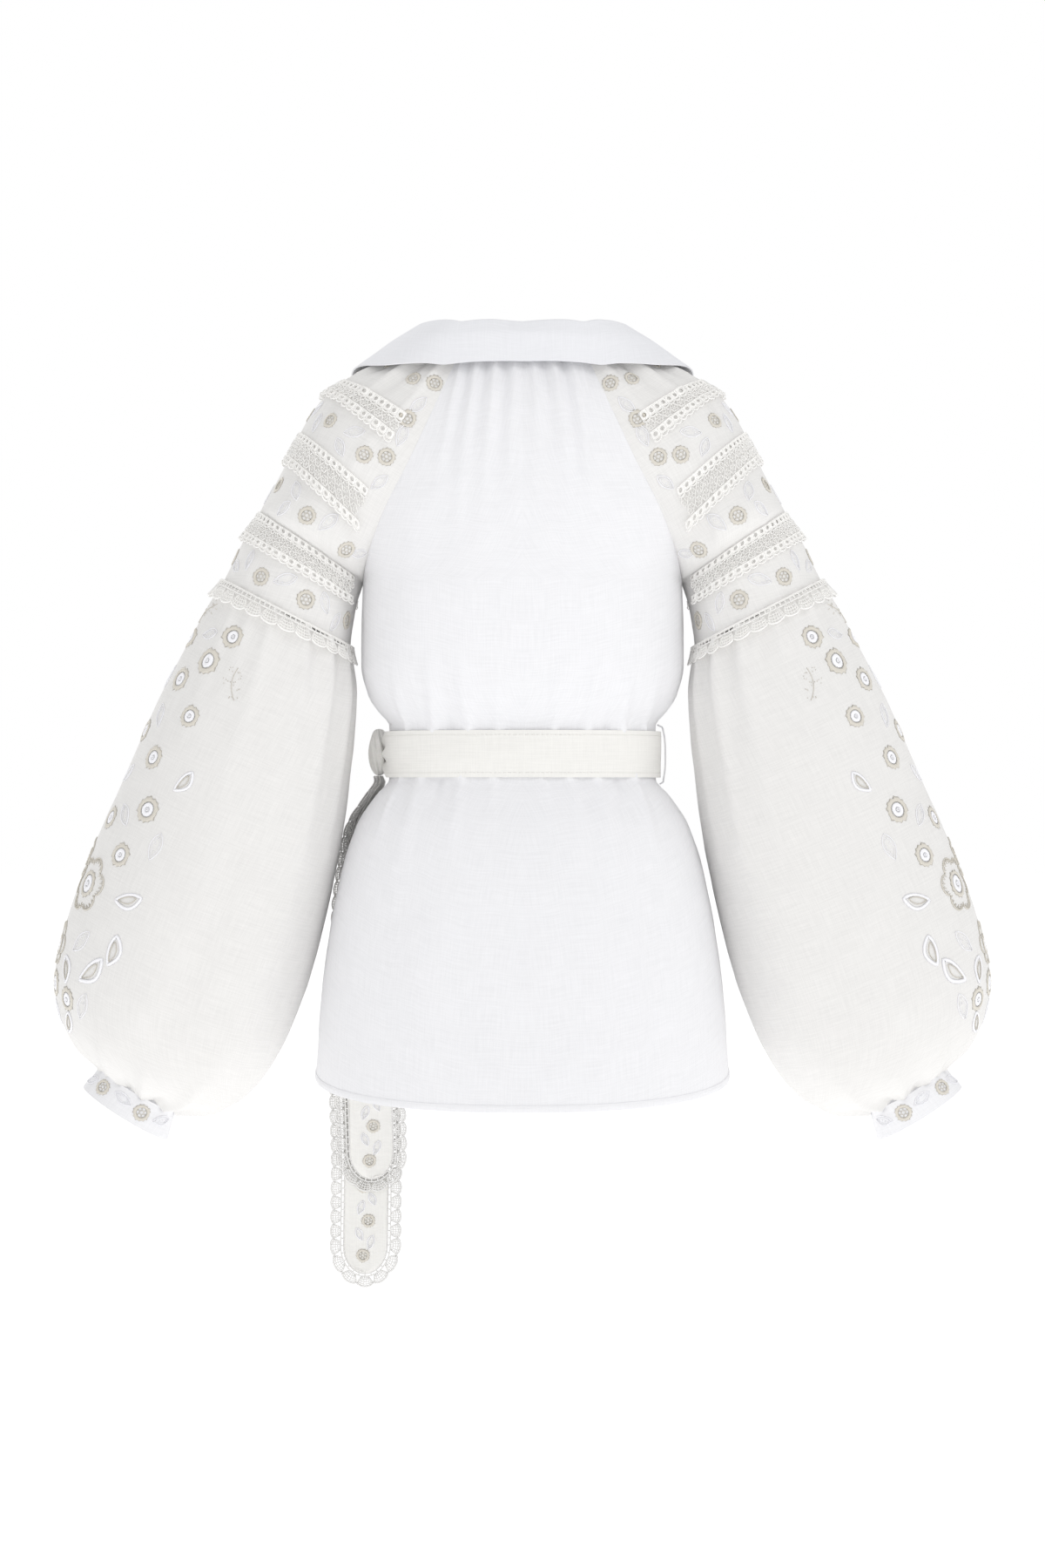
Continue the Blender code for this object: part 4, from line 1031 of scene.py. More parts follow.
def back_cloth(folds):
    """The left back, from the centre seam to the side."""
    down = panel_rows()
    across = np.linspace(0.0, 1.0, 64)
    end_angle, side_height = panel_seam(down, "back")
    centre_height = PANEL_CURVES["back_height"](down)
    height = centre_height[:, None] + (side_height - centre_height)[:, None] * across[None, :] ** 2
    points = body_point(end_angle[:, None] * across[None, :], height)
    cloth = Cloth(across, down, points, from_axis)
    around = lengths(points, 1)
    field = fold_field(around, -height, 1.0, folds) + unevenness(points, 0.0003)
    field = field * smooth(0.0, 0.004, around[:, -1][:, None] - around)
    field -= 0.0002 * np.exp(-(around / 0.0016) ** 2)
    return cloth.moved(field)


def front_cloth(reach, step, folds):
    """The left front, from the side seam to its free edge past the centre."""
    down = panel_rows()
    across = np.linspace(0.0, 1.0, 62)
    start_angle, side_height = panel_seam(down, "front")
    edge_x = np.maximum(PANEL_CURVES["edge_x"](down), -reach)
    edge_height = PANEL_CURVES["edge_height"](down)
    end_angle = angle_at(edge_x, edge_height)
    height = side_height[:, None] + (edge_height - side_height)[:, None] * across[None, :]
    angle = start_angle[:, None] + (end_angle - start_angle)[:, None] * across[None, :]
    lift = step * (1.0 - smooth(math.radians(52.0), math.radians(80.0), angle))
    raglan = (down <= SEAM_ROW)[:, None]
    lift = np.where(raglan, lift * smooth(0.0, 0.35, across[None, :]), lift)
    points = body_point(math.pi - angle, height, lift)
    cloth = Cloth(across, down, points, from_axis)
    around = lengths(points, 1)
    from_centre = np.abs(angle) / (math.pi / 2.0) * 0.19
    field = fold_field(from_centre, -height, 1.0, folds) + unevenness(points, 0.0003)
    if step == 0.0:
        covered = 1.0 - smooth(math.radians(46.0), math.radians(62.0), angle)
        field = field * (1.0 - covered) - 0.0004 * covered
    field = field * smooth(0.0, 0.004, around)
    return cloth.moved(field)


def sleeve_cloth(stations, turns, folds, wave=0.0003):
    """A stretch of the left sleeve, with its folds."""
    points = sleeve_base(stations[:, None], turns[None, :])
    cloth = Cloth(turns, stations, points, from_sleeve)
    scale = np.linalg.norm(cloth.by_across, axis=-1)
    places = np.broadcast_to(turns[None, :], scale.shape)
    levels = np.broadcast_to(stations[:, None], scale.shape)
    field = fold_field(places, levels, scale, folds)
    if stations[-1] > 7.5:
        field += (fold_field(places - 1.0, levels, scale, folds)
                  + fold_field(places + 1.0, levels, scale, folds))
    edge = np.minimum(places, 1.0 - places) * scale
    open_part = levels < UNDERARM
    field = np.where(open_part, field * smooth(0.0, 0.006, edge), field)
    return cloth.moved(field + unevenness(points, wave))


def upper_sleeve_cloth():
    """The left upper sleeve from the neck to the flounce."""
    return sleeve_cloth(np.linspace(0.0, 7.0, 108), np.linspace(0.0, 1.0, 101), UPPER_FOLDS)


def balloon_cloth():
    """The left balloon, as a ring from the flounce to the cuff."""
    return sleeve_cloth(np.linspace(7.02, 16.0, 116), np.linspace(0.0, 1.0, 157), BALLOON_FOLDS)


def neck_point(place):
    """Points of the left half of the neck edge, from the centre back to the lapel's end."""
    seam = raglan_point(np.array(0.0), "back")
    share = np.clip(place, 0.0, 1.0)
    seam_angle = angle_at(seam[0], seam[2])
    back = body_point(seam_angle * share, seam[2] * share ** 2)
    over = sleeve_base(np.zeros_like(place), np.clip((place - 1.0) / 2.0, 0.0, 1.0))
    row = np.clip((place - 3.0) * 4.0, 0.0, 4.0)
    edge_height = PANEL_CURVES["edge_height"](row)
    edge_angle = angle_at(PANEL_CURVES["edge_x"](row), edge_height)
    front = body_point(math.pi - edge_angle, edge_height, WRAP_STEP)
    place = place[:, None]
    return np.where(place < 1.0, back, np.where(place < 3.0, over, front))


def collar_cloth():
    """The collar and lapels from one end to the other, from the foot over the fold to the edge."""
    half = np.linspace(0.0, 4.0, 101)
    edge = neck_point(half)
    relax(edge, 3)
    parts = {part: stack(*[COLLAR_CURVES[part + "_" + axis](half) for axis in "xyz"])
             for part in ("fold", "mid", "free")}
    foot = stack(-0.003 * smooth(2.5, 3.1, half), 0.0 * half, 0.0 * half + COLLAR_RISE)
    crown = parts["fold"] + unit(parts["mid"] - parts["fold"]) * CROWN
    marks = [edge + foot, edge + parts["fold"], edge + crown, edge + parts["mid"], edge + parts["free"]]
    stops = np.array([0.0, 0.30, 0.42, 0.62, 1.0])
    sides = np.linspace(0.0, 1.0, 30)
    grid = np.empty((len(sides), len(half), 3))
    for column in range(len(half)):
        line = np.array([mark[column] for mark in marks])
        for axis in range(3):
            grid[:, column, axis] = np.interp(sides, stops, line[:, axis])
    relax(grid, 2)
    whole = np.concatenate([on_side(grid[:, :0:-1], -1.0), grid], axis=1)
    places = np.concatenate([-half[:0:-1], half])

    def outward(points):
        return points - np.array([0.6, 0.6, 1.0]) * points - np.array([0.0, 0.0, -0.05])

    cloth = Cloth(places, sides, whole, outward)
    return cloth.moved(unevenness(whole, 0.00025))


def belt_cloth():
    """The sash round the waist, bunched where it runs into the knot."""
    share = np.linspace(0.0, 1.0, 260)
    angle = math.radians(94.5) - share * (2.0 * math.pi - math.radians(6.0))
    turned = np.arctan2(np.sin(angle), np.cos(angle))
    levels = np.linspace(0.0, 1.0, 17)
    bunch = np.minimum(share, 1.0 - share) * 0.66
    squeeze = 1.0 - 0.42 * (1.0 - smooth(0.0, 0.026, bunch))
    middle = (BELT_TOP + BELT_BOTTOM) / 2.0
    height = middle + (0.5 - levels)[:, None] * (BELT_TOP - BELT_BOTTOM) * squeeze[None, :]
    front = smooth(math.radians(70.0), math.radians(110.0), np.abs(turned))
    out = 0.0030 + (WRAP_STEP + 0.0010) * front[None, :] + 0.0008 * np.sin(math.pi * levels)[:, None]
    points = body_point(angle[None, :], height, out)
    cloth = Cloth(share, levels, points, from_axis)
    ripple = (1.0 - smooth(0.004, 0.050, bunch))[None, :] * 0.0022
    ripple = ripple * np.sin(levels * 15.0 + 0.6)[:, None]
    crease = 0.0007 * np.sin(levels[:, None] * 5.0 + share[None, :] * 9.0) * np.sin(share * 23.0)[None, :]
    return cloth.moved(ripple + crease)


def sash_point(end, step, height):
    """Points of a sash end at steps sideways from its centre line."""
    step, height = np.broadcast_arrays(np.asarray(step, float), np.asarray(height, float))
    yaw = np.radians(SASH_CURVES["yaw"](height))
    facing = stack(np.sin(yaw), -np.cos(yaw), 0.0 * yaw)
    across = stack(np.cos(yaw), np.sin(yaw), 0.0 * yaw)
    level = np.maximum(height, BODY[-2].height)
    power = 1.0 / (2.0 - 2.0 / BODY_ROUNDNESS)
    from_front = np.arctan((np.tan(yaw) * HALF_WIDTH(level) / FRONT_DEPTH(level)) ** power)
    touch = body_point(math.pi - from_front, level)
    shift = SASH_CURVES["slide"](height) + end.shift_x * smooth(-0.45, -0.62, height)
    clear = SASH_CURVES["stand_off"](height) + end.layer * SASH_CURVES["layer_step"](height)
    centre = touch + facing * clear[..., None] + across * shift[..., None]
    centre[..., 2] = height
    return centre + across * (step * SASH_CURVES["spread"](height))[..., None]


def sash_outline(end):
    """Lengths and a function along a sash end's edge: down one side, round the tip and up."""
    shoulder = end.bottom + SASH_LACE_WIDTH + SASH_TIP
    straight = SASH[0].height - shoulder
    arc = math.pi * (SASH_HALF_WIDTH + SASH_TIP) / 2.0 * 1.15

    def at(distance, reach):
        distance, reach = np.broadcast_arrays(np.asarray(distance, float), np.asarray(reach, float))
        angle = math.pi * np.clip((distance - straight) / arc, 0.0, 1.0)
        first = distance < straight
        last = distance > straight + arc
        step = np.where(first, SASH_HALF_WIDTH + reach,
                        np.where(last, -SASH_HALF_WIDTH - reach, (SASH_HALF_WIDTH + reach) * np.cos(angle)))
        height = np.where(first, SASH[0].height - distance,
                          np.where(last, shoulder + distance - straight - arc,
                                   shoulder - (SASH_TIP + reach) * np.sin(angle)))
        return sash_point(end, step, height)

    return 2.0 * straight + arc, at


def sash_cloth(end):
    """The linen of a sash end, down to its round tip."""
    shoulder = end.bottom + SASH_LACE_WIDTH + SASH_TIP
    body = np.linspace(SASH[0].height, shoulder, 96)
    angle = np.linspace(0.0, math.pi / 2.0, 16)[1:-1]
    heights = np.concatenate([body, shoulder - SASH_TIP * np.sin(angle)])
    widths = np.concatenate([np.full(len(body), SASH_HALF_WIDTH), SASH_HALF_WIDTH * np.cos(angle)])
    share = np.linspace(-1.0, 1.0, 19)
    points = sash_point(end, widths[:, None] * share[None, :], heights[:, None])
    down = -heights

    cloth = Cloth(share, down, points, from_axis)
    ripple = 0.0008 * np.sin(share * 4.0)[None, :] * np.sin(down * 38.0)[:, None]
    bunch = (1.0 - smooth(0.395, 0.47, down))[:, None] * 0.0016 * np.sin(share * 11.0)[None, :]
    return cloth.moved(ripple * smooth(0.42, 0.50, down)[:, None] + bunch)


def leaf_outline(length, width, count=20):
    """The outline of a leaf with pointed ends, from its stalk."""
    share = np.linspace(0.0, 1.0, count // 2 + 1)
    x = length * share
    y = width * np.sin(math.pi * share) ** 0.8 * (1.0 - 0.25 * share)
    return np.concatenate([x, x[-2:0:-1]]) - length / 2.0, np.concatenate([y, -y[-2:0:-1]])


def draw_ring(threads, lay, size, _):
    """A ring flower: beige satin stitches round a net centre."""
    threads.satin_ring(lay, size * 0.50, size * 0.86, 0.0009, slot=0)
    for turn in (0.3, 1.4, 2.5):
        for step in (-0.18, 0.18):
            reach = size * 0.48
            line = np.linspace(-reach, reach, 5)
            x = line * math.cos(turn) - step * size * math.sin(turn)
            y = line * math.sin(turn) + step * size * math.cos(turn)
            threads.cord(lay(x, y, 0.0003), *SEED_STITCH, slot=0)


def draw_leaf(threads, lay, size, rng):
    """A leaf: two white outlines round a fill of seed stitches."""
    x, y = leaf_outline(size * 1.7, size * 0.46, 22)
    threads.cord(lay(x, y, 0.0003), 0.0010, 0.0006, closed=True, slot=1)
    threads.cord(lay(x * 0.74, y * 0.62, 0.0002), 0.0005, 0.0004, closed=True, slot=1)
    for _ in range(9):
        place = rng.uniform(-0.42, 0.42)
        side = rng.uniform(-1.0, 1.0) * 0.34 * (1.0 - abs(place) * 1.5)
        turn = rng.uniform(0.0, math.pi)
        line = np.array([-0.0006, 0.0006])
        placed = lay(place * size * 1.3 + line * math.cos(turn),
                     side * size * 0.8 + line * math.sin(turn), 0.0003)
        threads.cord(placed, *SEED_STITCH, slot=1)


def draw_blossom(threads, lay, size, _):
    """A small blossom: a scalloped beige rim round a white satin eye."""
    threads.satin_ring(lay, size * 0.56, size * 0.92, 0.0009, lobes=8, slot=0)
    threads.satin_ring(lay, size * 0.16, size * 0.54, 0.0007, stitches=26, jag=0.04, slot=1)
    threads.satin_ring(lay, size * 0.05, size * 0.14, 0.0011, stitches=10, jag=0.0, slot=1)


def draw_bud(threads, lay, size, _):
    """A long satin leaf: a broad white border round a beige eye."""
    x, y = leaf_outline(size * 1.15, size * 0.30, 40)
    y = y + 0.10 * size * np.sin(math.pi * (x / (size * 1.15) + 0.5))
    threads.cord(lay(x * 0.9, y * 0.9, 0.0003), size * 0.135, 0.0010, closed=True, slot=1)
    threads.cord(lay(x * 0.62 + 0.03 * size, y * 0.45, 0.0005), 0.0009, 0.0007, closed=True, slot=0)


def draw_flower(threads, lay, size, _):
    """A large flower: six hatched beige petals round a blossom."""
    for petal in range(6):
        turn = petal * math.pi / 3.0
        angle = np.linspace(-1.0, 1.0, 17)
        reach = size * (0.62 + 0.36 * np.cos(angle * 1.45) ** 0.5)
        spread = turn + angle * 0.50
        x, y = reach * np.cos(spread), reach * np.sin(spread)
        threads.cord(lay(x, y, 0.0003), 0.0013, 0.0009, slot=0)
        for stitch in range(1, 16):
            inner = 0.80 + 0.06 * (stitch % 3)
            ends = np.array([1.0, inner])
            threads.cord(lay(x[stitch] * ends, y[stitch] * ends, 0.00025), 0.0007, 0.0005, slot=0)
    threads.satin_ring(lay, size * 0.32, size * 0.46, 0.0011, slot=0)
    threads.satin_ring(lay, size * 0.10, size * 0.31, 0.0008, stitches=26, jag=0.04, slot=1)
    threads.satin_ring(lay, size * 0.03, size * 0.08, 0.0012, stitches=10, jag=0.0, slot=1)


def draw_spray(threads, lay, size, rng):
    """A thin curved stalk with small seed knots beside it."""
    share = np.linspace(-1.0, 1.0, 15)
    threads.cord(lay(share * size, 0.28 * size * share ** 2, 0.0002), 0.0007, 0.0005, slot=0)
    for _ in range(26):
        x, y = rng.uniform(-1.0, 1.0) * size, rng.uniform(-0.6, 0.7) * size
        placed = lay(x + np.array([-0.0005, 0.0005]), y + np.array([0.0, 0.0003]), 0.0002)
        threads.cord(placed, 0.0006, 0.0004, slot=0)


DRAW = {"ring": draw_ring, "leaf": draw_leaf, "blossom": draw_blossom, "bud": draw_bud,
        "flower": draw_flower, "spray": draw_spray}


def embroider(name, cloth, motifs, side, seed):
    """Embroider motifs on cloth, as one joined piece of thread."""
    threads = Threads(side)
    rng = np.random.default_rng(seed)
    for motif in motifs:
        turn = math.radians(motif.turn)
        DRAW[motif.kind](threads, cloth.spot(motif.across, motif.down, turn), motif.size / 1000.0, rng)
    made = threads.make(name, (finish("beige_thread"), finish("white_thread")))
    dress(made, "ivory_voile")
    return made


def lay_edging(threads, lay, count, height, scallops):
    """A narrow lace edging: a tape with eyelets, and small scallops below it when asked."""
    steps = 8
    angle = np.linspace(0.0, 2.0 * math.pi, steps, endpoint=False)
    square = np.maximum(np.abs(np.cos(angle)), np.abs(np.sin(angle)))
    for cell in range(count):
        centre = cell + 0.5
        outer_u = centre + 0.5 * np.cos(angle) / square
        outer_v = height * (0.5 + 0.5 * np.sin(angle) / square)
        inner_u = centre + 0.30 * np.cos(angle)
        inner_v = height * (0.5 + 0.31 * np.sin(angle))
        outer_points, outer_normals = lay(outer_u, outer_v)
        inner_points, inner_normals = lay(inner_u, inner_v)
        points = np.stack([
            outer_points, inner_points,
            inner_points - inner_normals * TAPE, outer_points - outer_normals * TAPE], axis=1)
        rows = np.arange(steps)
        threads.add(points, ring_faces(rows, (rows + 1) % steps, 4))
        threads.cord((inner_points, inner_normals), 0.0008, 0.0008, closed=True)
    line = np.linspace(0.0, count, count * 2 + 1)
    for level in (0.0, height):
        threads.cord(lay(line, np.full(len(line), level)), 0.0010, 0.0007)
    if scallops:
        arc = np.linspace(0.0, math.pi, 6)
        for number in range(count):
            placed = lay(number + 0.5 - 0.48 * np.cos(arc), height + scallops * np.sin(arc))
            threads.cord(placed, 0.0015, 0.0007)


def lay_crochet(threads, lay, count, top, bottom, rows):
    """A crochet insertion: rows of lobed motifs joined by small bars."""
    pitch = (bottom - top) / rows
    angle = np.linspace(0.0, 2.0 * math.pi, 18, endpoint=False)
    small = np.linspace(0.0, 2.0 * math.pi, 5, endpoint=False)
    for row in range(rows):
        for column in range(count):
            centre_u = column + 0.5 + 0.5 * (row % 2)
            if centre_u > count - 0.4:
                continue
            centre_v = top + pitch * (row + 0.5)
            lobes = 1.0 + 0.13 * np.cos(6.0 * angle)
            placed = lay(centre_u + 0.42 * lobes * np.cos(angle),
                         centre_v + 0.43 * pitch * lobes * np.sin(angle))
            threads.cord(placed, 0.0011, 0.0011, closed=True)
            placed = lay(centre_u + 0.13 * np.cos(small), centre_v + 0.14 * pitch * np.sin(small))
            threads.cord(placed, 0.0009, 0.0008, closed=True)
            for turn in np.arange(6) * math.pi / 3.0 + math.pi / 6.0:
                reach = np.array([0.16, 0.36])
                placed = lay(centre_u + reach * math.cos(turn),
                             centre_v + pitch * reach * math.sin(turn))
                threads.cord(placed, 0.0007, 0.0005)


def lay_fan(threads, lay, number, top, tip):
    """A lace fan: radial bars and rows of small loops under a thick scalloped rim."""
    arc = np.linspace(-1.0, 1.0, 10)

    def on_fan(share, place):
        wide = 0.22 + 0.26 * np.sqrt(share)
        u = number + 0.5 + wide * np.sin(place * 1.35) / math.sin(1.35)
        v = top + (tip - top) * share * (0.62 + 0.38 * np.cos(place * 1.35))
        return lay(u, v)

    for share, width in ((0.30, 0.0009), (0.55, 0.0010), (0.78, 0.0010), (1.0, 0.0019)):
        threads.cord(on_fan(np.full(len(arc), share), arc), width, 0.0007)
    for place in np.linspace(-1.0, 1.0, 8):
        share = np.array([0.02, 0.5, 1.0])
        threads.cord(on_fan(share, np.full(3, place)), 0.0009, 0.0006)


def lay_ladder(threads, lay, count, top, bottom, per_fan):
    """A ladder between two cords."""
    line = np.linspace(0.0, count, count * 4 + 1)
    for level, width in ((top, 0.0016), (top + 0.0012, 0.0009), (bottom, 0.0014)):
        threads.cord(lay(line, np.full(len(line), level)), width, 0.0009)
    for rung in np.arange(0, count * per_fan + 1) / per_fan:
        threads.cord(lay(np.array([rung, rung]), np.array([top, bottom])), 0.0013, 0.0007)


def stitch_line(threads, lay, start, end, level, pitch):
    """A line of running stitches along a seam or an edge."""
    count = max(int((end - start) / pitch), 1)
    for number in range(count):
        at = start + (number + 0.5) * pitch
        half = 0.32 * pitch
        threads.cord(lay(np.array([at - half, at, at + half]), np.full(3, level)), *RUNNING_STITCH)


def colour_of(name, description, red, green, blue):
    """A colour in the panel."""
    return bpy.props.FloatVectorProperty(
        name=name, description=description, subtype="COLOR", size=4,
        default=(red, green, blue, 1.0), min=0.0, max=1.0)


def size_of(name, description, value, least, most, unit="LENGTH"):
    """A size or another value in the panel."""
    return bpy.props.FloatProperty(
        name=name, description=description, default=value, min=least, max=most, unit=unit)


class BlouseColours(bpy.types.PropertyGroup):
    """Colours of the cloths and threads."""

    linen: colour_of("White linen", "Colour of the body and the cuffs", 0.905, 0.905, 0.925)
    collar: colour_of("Collar linen", "Colour of the collar", 0.895, 0.90, 0.93)
    voile: colour_of("Ivory voile", "Colour of the sleeves", 0.865, 0.855, 0.84)
    sash: colour_of("Sash linen", "Colour of the sash", 0.905, 0.895, 0.865)
    lace: colour_of("Ivory lace", "Colour of the lace thread", 0.93, 0.92, 0.90)
    flower: colour_of("Beige thread", "Colour of the flowers' satin stitches", 0.80, 0.76, 0.68)
    leaf: colour_of("White thread", "Colour of the leaves' satin stitches", 0.93, 0.93, 0.96)


class BlouseSizes(bpy.types.PropertyGroup):
    """Sizes of the cloth and the studio."""

    cloth: size_of("Cloth", "Thickness of the linen and the voile", 0.0008, 0.0003, 0.003)
    doubled: size_of("Doubled cloth", "Thickness of the collar and the cuffs", 0.0014, 0.0005, 0.004)
    thread_pitch: size_of(
        "Thread pitch", "Distance from thread to thread in the weave", 0.0011, 0.0003, 0.004)
    stitch: size_of("Stitch", "Pitch of the running stitches", 0.0034, 0.001, 0.01)
    studio: size_of("Studio light", "Strength of the soft light from all round", 0.74, 0.0, 3.0, "NONE")
    lens: size_of("Lens", "Focal length of the camera in millimetres", 65.0, 20.0, 200.0, "NONE")


class BLOUSE_OT_body(bpy.types.Operator):
    """Make the two backs and the two wrapped fronts"""

    bl_idname = "blouse.body"
    bl_label = "Body"

    def execute(self, context):
        sizes = context.scene.blouse_sizes
        for side, word in SIDES:
            cloth = back_cloth(BACK_FOLDS[word])
            back = make_sheet("linen_back_" + word, cloth, "white_linen", sizes.cloth, side)
            dress(back, "white_linen", "back_" + word)
            hem = self.sew("hem_back_" + word, cloth, side)
            declare(cloth, 1.12, [hem])
        fronts = (("right", "right_over", FULL_REACH, WRAP_STEP, -1.0),
                  ("left", "left_under", UNDER_REACH, 0.0, 1.0))
        for word, node, reach, step, side in fronts:
            cloth = front_cloth(reach, step, FRONT_FOLDS)
            front = make_sheet("linen_front_" + word, cloth, "white_linen", sizes.cloth, side)
            dress(front, "white_linen", "front_" + node)
            hem = self.sew("hem_front_" + word, cloth, side)
            declare(cloth, 1.05, [hem])
        return {"FINISHED"}

    def sew(self, name, cloth, side):
        """A narrow turned hem, as a second layer along the lower edge."""
        length = float(lengths(cloth.points, 0)[-1, 10] - lengths(cloth.points, 0)[-8, 10])
        per_metre = (cloth.down[-1] - cloth.down[-8]) / length
        down = np.linspace(cloth.down[-1] - HEM_WIDTH * per_metre, cloth.down[-1], 5)
        points, _ = cloth.at(cloth.across[None, :], down[:, None], 0.0005)
        out = np.array([0.0, 0.5, 0.6, 0.5, 0.0])[:, None] * HEM_HEIGHT
        strip = Cloth(cloth.across, down, points, cloth.outward).moved(np.broadcast_to(out, points.shape[:2]))
        piece = make_sheet(name, strip, "white_linen", HEM_THICKNESS, side)
        dress(piece, "white_linen")
        return piece


class BLOUSE_OT_collar(bpy.types.Operator):
    """Make the wide collar that runs on as the lapels"""

    bl_idname = "blouse.collar"
    bl_label = "Collar"

    def execute(self, context):
        cloth = collar_cloth()
        piece = make_sheet("linen_collar", cloth, "collar_linen", context.scene.blouse_sizes.doubled)
        dress(piece, "collar_linen", "collar")
        declare(cloth, 1.02)
        return {"FINISHED"}


class BLOUSE_OT_sleeves(bpy.types.Operator):
    """Make the upper sleeves, the balloons and the cuffs, with their embroidery"""

    bl_idname = "blouse.sleeves"
    bl_label = "Sleeves"

    def execute(self, context):
        sizes = context.scene.blouse_sizes
        upper = upper_sleeve_cloth()
        balloon = balloon_cloth()
        cuff = sleeve_cloth(np.linspace(16.02, 17.0, 12), np.linspace(0.0, 1.0, 97), ())
        rim = 0.0004 * np.sin(math.pi * np.linspace(0.0, 1.0, 12))[:, None]
        cuff = cuff.moved(np.broadcast_to(rim + 0.0004, cuff.points.shape[:2]))
        tier_motifs = TIER_MOTIFS + BORDER_MOTIFS
        balloon_motifs = BALLOON_MOTIFS + FRONT_BALLOON_MOTIFS
        for side, word in SIDES:
            piece = make_sheet(
                "voile_upper_sleeve_" + word, upper, "ivory_voile", sizes.cloth, side, weld=True)
            dress(piece, "ivory_voile", "sleeve_upper_" + word)
            flowers = embroider("tier_flowers_" + word, upper, tier_motifs, side, SEED_NUMBERS["tier"])
            names = ["crochet_%s_%s" % (band.node, word) for band in LACE_BANDS] + ["lace_fans_" + word]
            lace = [bpy.data.objects[name] for name in names]
            declare(upper, 1.1, [flowers] + lace)
            piece = make_sheet(
                "voile_balloon_" + word, balloon, "ivory_voile", sizes.cloth, side, closed=True)
            dress(piece, "ivory_voile", "sleeve_lower_" + word)
            seed = SEED_NUMBERS["balloon"]
            flowers = embroider("balloon_flowers_" + word, balloon, balloon_motifs, side, seed)
            declare(balloon, 1.15, [flowers])
            piece = make_sheet("linen_cuff_" + word, cuff, "white_linen", sizes.doubled, side, closed=True)
            dress(piece, "white_linen", "cuff_" + word)
            flowers = embroider("cuff_flowers_" + word, cuff, CUFF_MOTIFS, side, SEED_NUMBERS["cuff"])
            declare(cuff, 1.0, [flowers])
        return {"FINISHED"}


class BLOUSE_OT_sleeve_lace(bpy.types.Operator):
    """Make the lace bands of the upper sleeves and the flounces below them"""

    bl_idname = "blouse.sleeve_lace"
    bl_label = "Sleeve lace"

    def execute(self, context):
        cloth = upper_sleeve_cloth()
        reach = sleeve_cloth(np.linspace(6.5, 8.0, 40), np.linspace(0.0, 1.0, 121), ())
        for side, word in SIDES:
            for band in LACE_BANDS:
                piece = self.band(cloth, band, side, word)
                dress(piece, "ivory_lace", "%s_%s" % (band.node, word))
            piece = self.flounce(reach, side, word)
            dress(piece, "ivory_lace", "lace_flounce_back_" + word, "lace_flounce_front_" + word)
        return {"FINISHED"}

    def band(self, cloth, band, side, word):
        """One band: an edging, a crochet insertion and a scalloped edging that stands proud."""
        threads = Threads(side)
        middle = (band.top + band.bottom) / 2.0
        turns = np.linspace(BAND_START, BAND_END, 60)
        line, _ = cloth.at(turns, np.full(60, middle))
        around = float(np.linalg.norm(np.diff(line, axis=0), axis=1).sum())
        drop, _ = cloth.at(np.full(12, 0.3), np.linspace(band.top, band.bottom, 12))
        height = float(np.linalg.norm(np.diff(drop, axis=0), axis=1).sum())
        cells = int(around / CELL)

        def placer(count):
            def lay(u, v):
                u, v = np.broadcast_arrays(np.asarray(u, float), np.asarray(v, float))
                share = v / height
                turn = BAND_START + (BAND_END - BAND_START) * u / count
                wave = 0.5 + 0.5 * np.sin(turn * 47.0 + band.top)
                out = 0.0014 + band.proud * np.clip(share, 0.0, 1.2) ** 2 * (0.6 + 0.4 * wave)
                out = out + 0.0010 * np.sin(turn * 83.0 + 2.0) * np.clip(share, 0.0, 1.0)
                return cloth.at(turn, band.top + (band.bottom - band.top) * share, out)
            return lay

        lay = placer(cells)
        lay_edging(threads, lay, cells, EDGING, 0.0018)

        def lower(u, v):
            return lay(u, v + height - EDGING - SCALLOP)

        lay_edging(threads, lower, cells, EDGING, SCALLOP)
        room = height - 2.0 * EDGING - SCALLOP - 0.0022
        rows = max(int(round(room / CROCHET_ROW)), 1)
        motifs = int(around / CROCHET_MOTIF)
        top = EDGING + 0.0014
        lay_crochet(threads, placer(motifs), motifs, top, top + room, rows)
        return threads.make("crochet_%s_%s" % (band.node, word), (finish("ivory_lace"),))

    def flounce(self, cloth, side, word):
        """The scalloped flounce: a double cord and fans round the whole sleeve."""
        threads = Threads(side)
        station_length = float(np.linalg.norm(cloth.read(cloth.by_down, np.array([0.5]), np.array([7.2]))))

        def lay(u, v):
            u, v = np.broadcast_arrays(np.asarray(u, float), np.asarray(v, float))
            turn = np.clip(u / FLOUNCE_FANS, 0.0, 1.0)
            beside = 1.0 - smooth(0.0, 0.22, np.minimum(turn, 1.0 - turn))
            out = 0.0028 + 0.0042 * (1.0 - 0.7 * beside) * np.clip(v / FLOUNCE_HEIGHT, 0.0, 1.1)
            out = out + 0.0007 * np.sin(turn * 90.0) * np.clip(v / FLOUNCE_HEIGHT, 0.0, 1.0)
            return cloth.at(turn, 6.97 + v / station_length, out)

        lay_ladder(threads, lay, FLOUNCE_FANS, 0.0004, 0.0056, 3)
        for number in range(FLOUNCE_FANS):
            lay_fan(threads, lay, number, 0.0056, FLOUNCE_HEIGHT + 0.0008)
        return threads.make("lace_fans_" + word, (finish("ivory_lace"),))


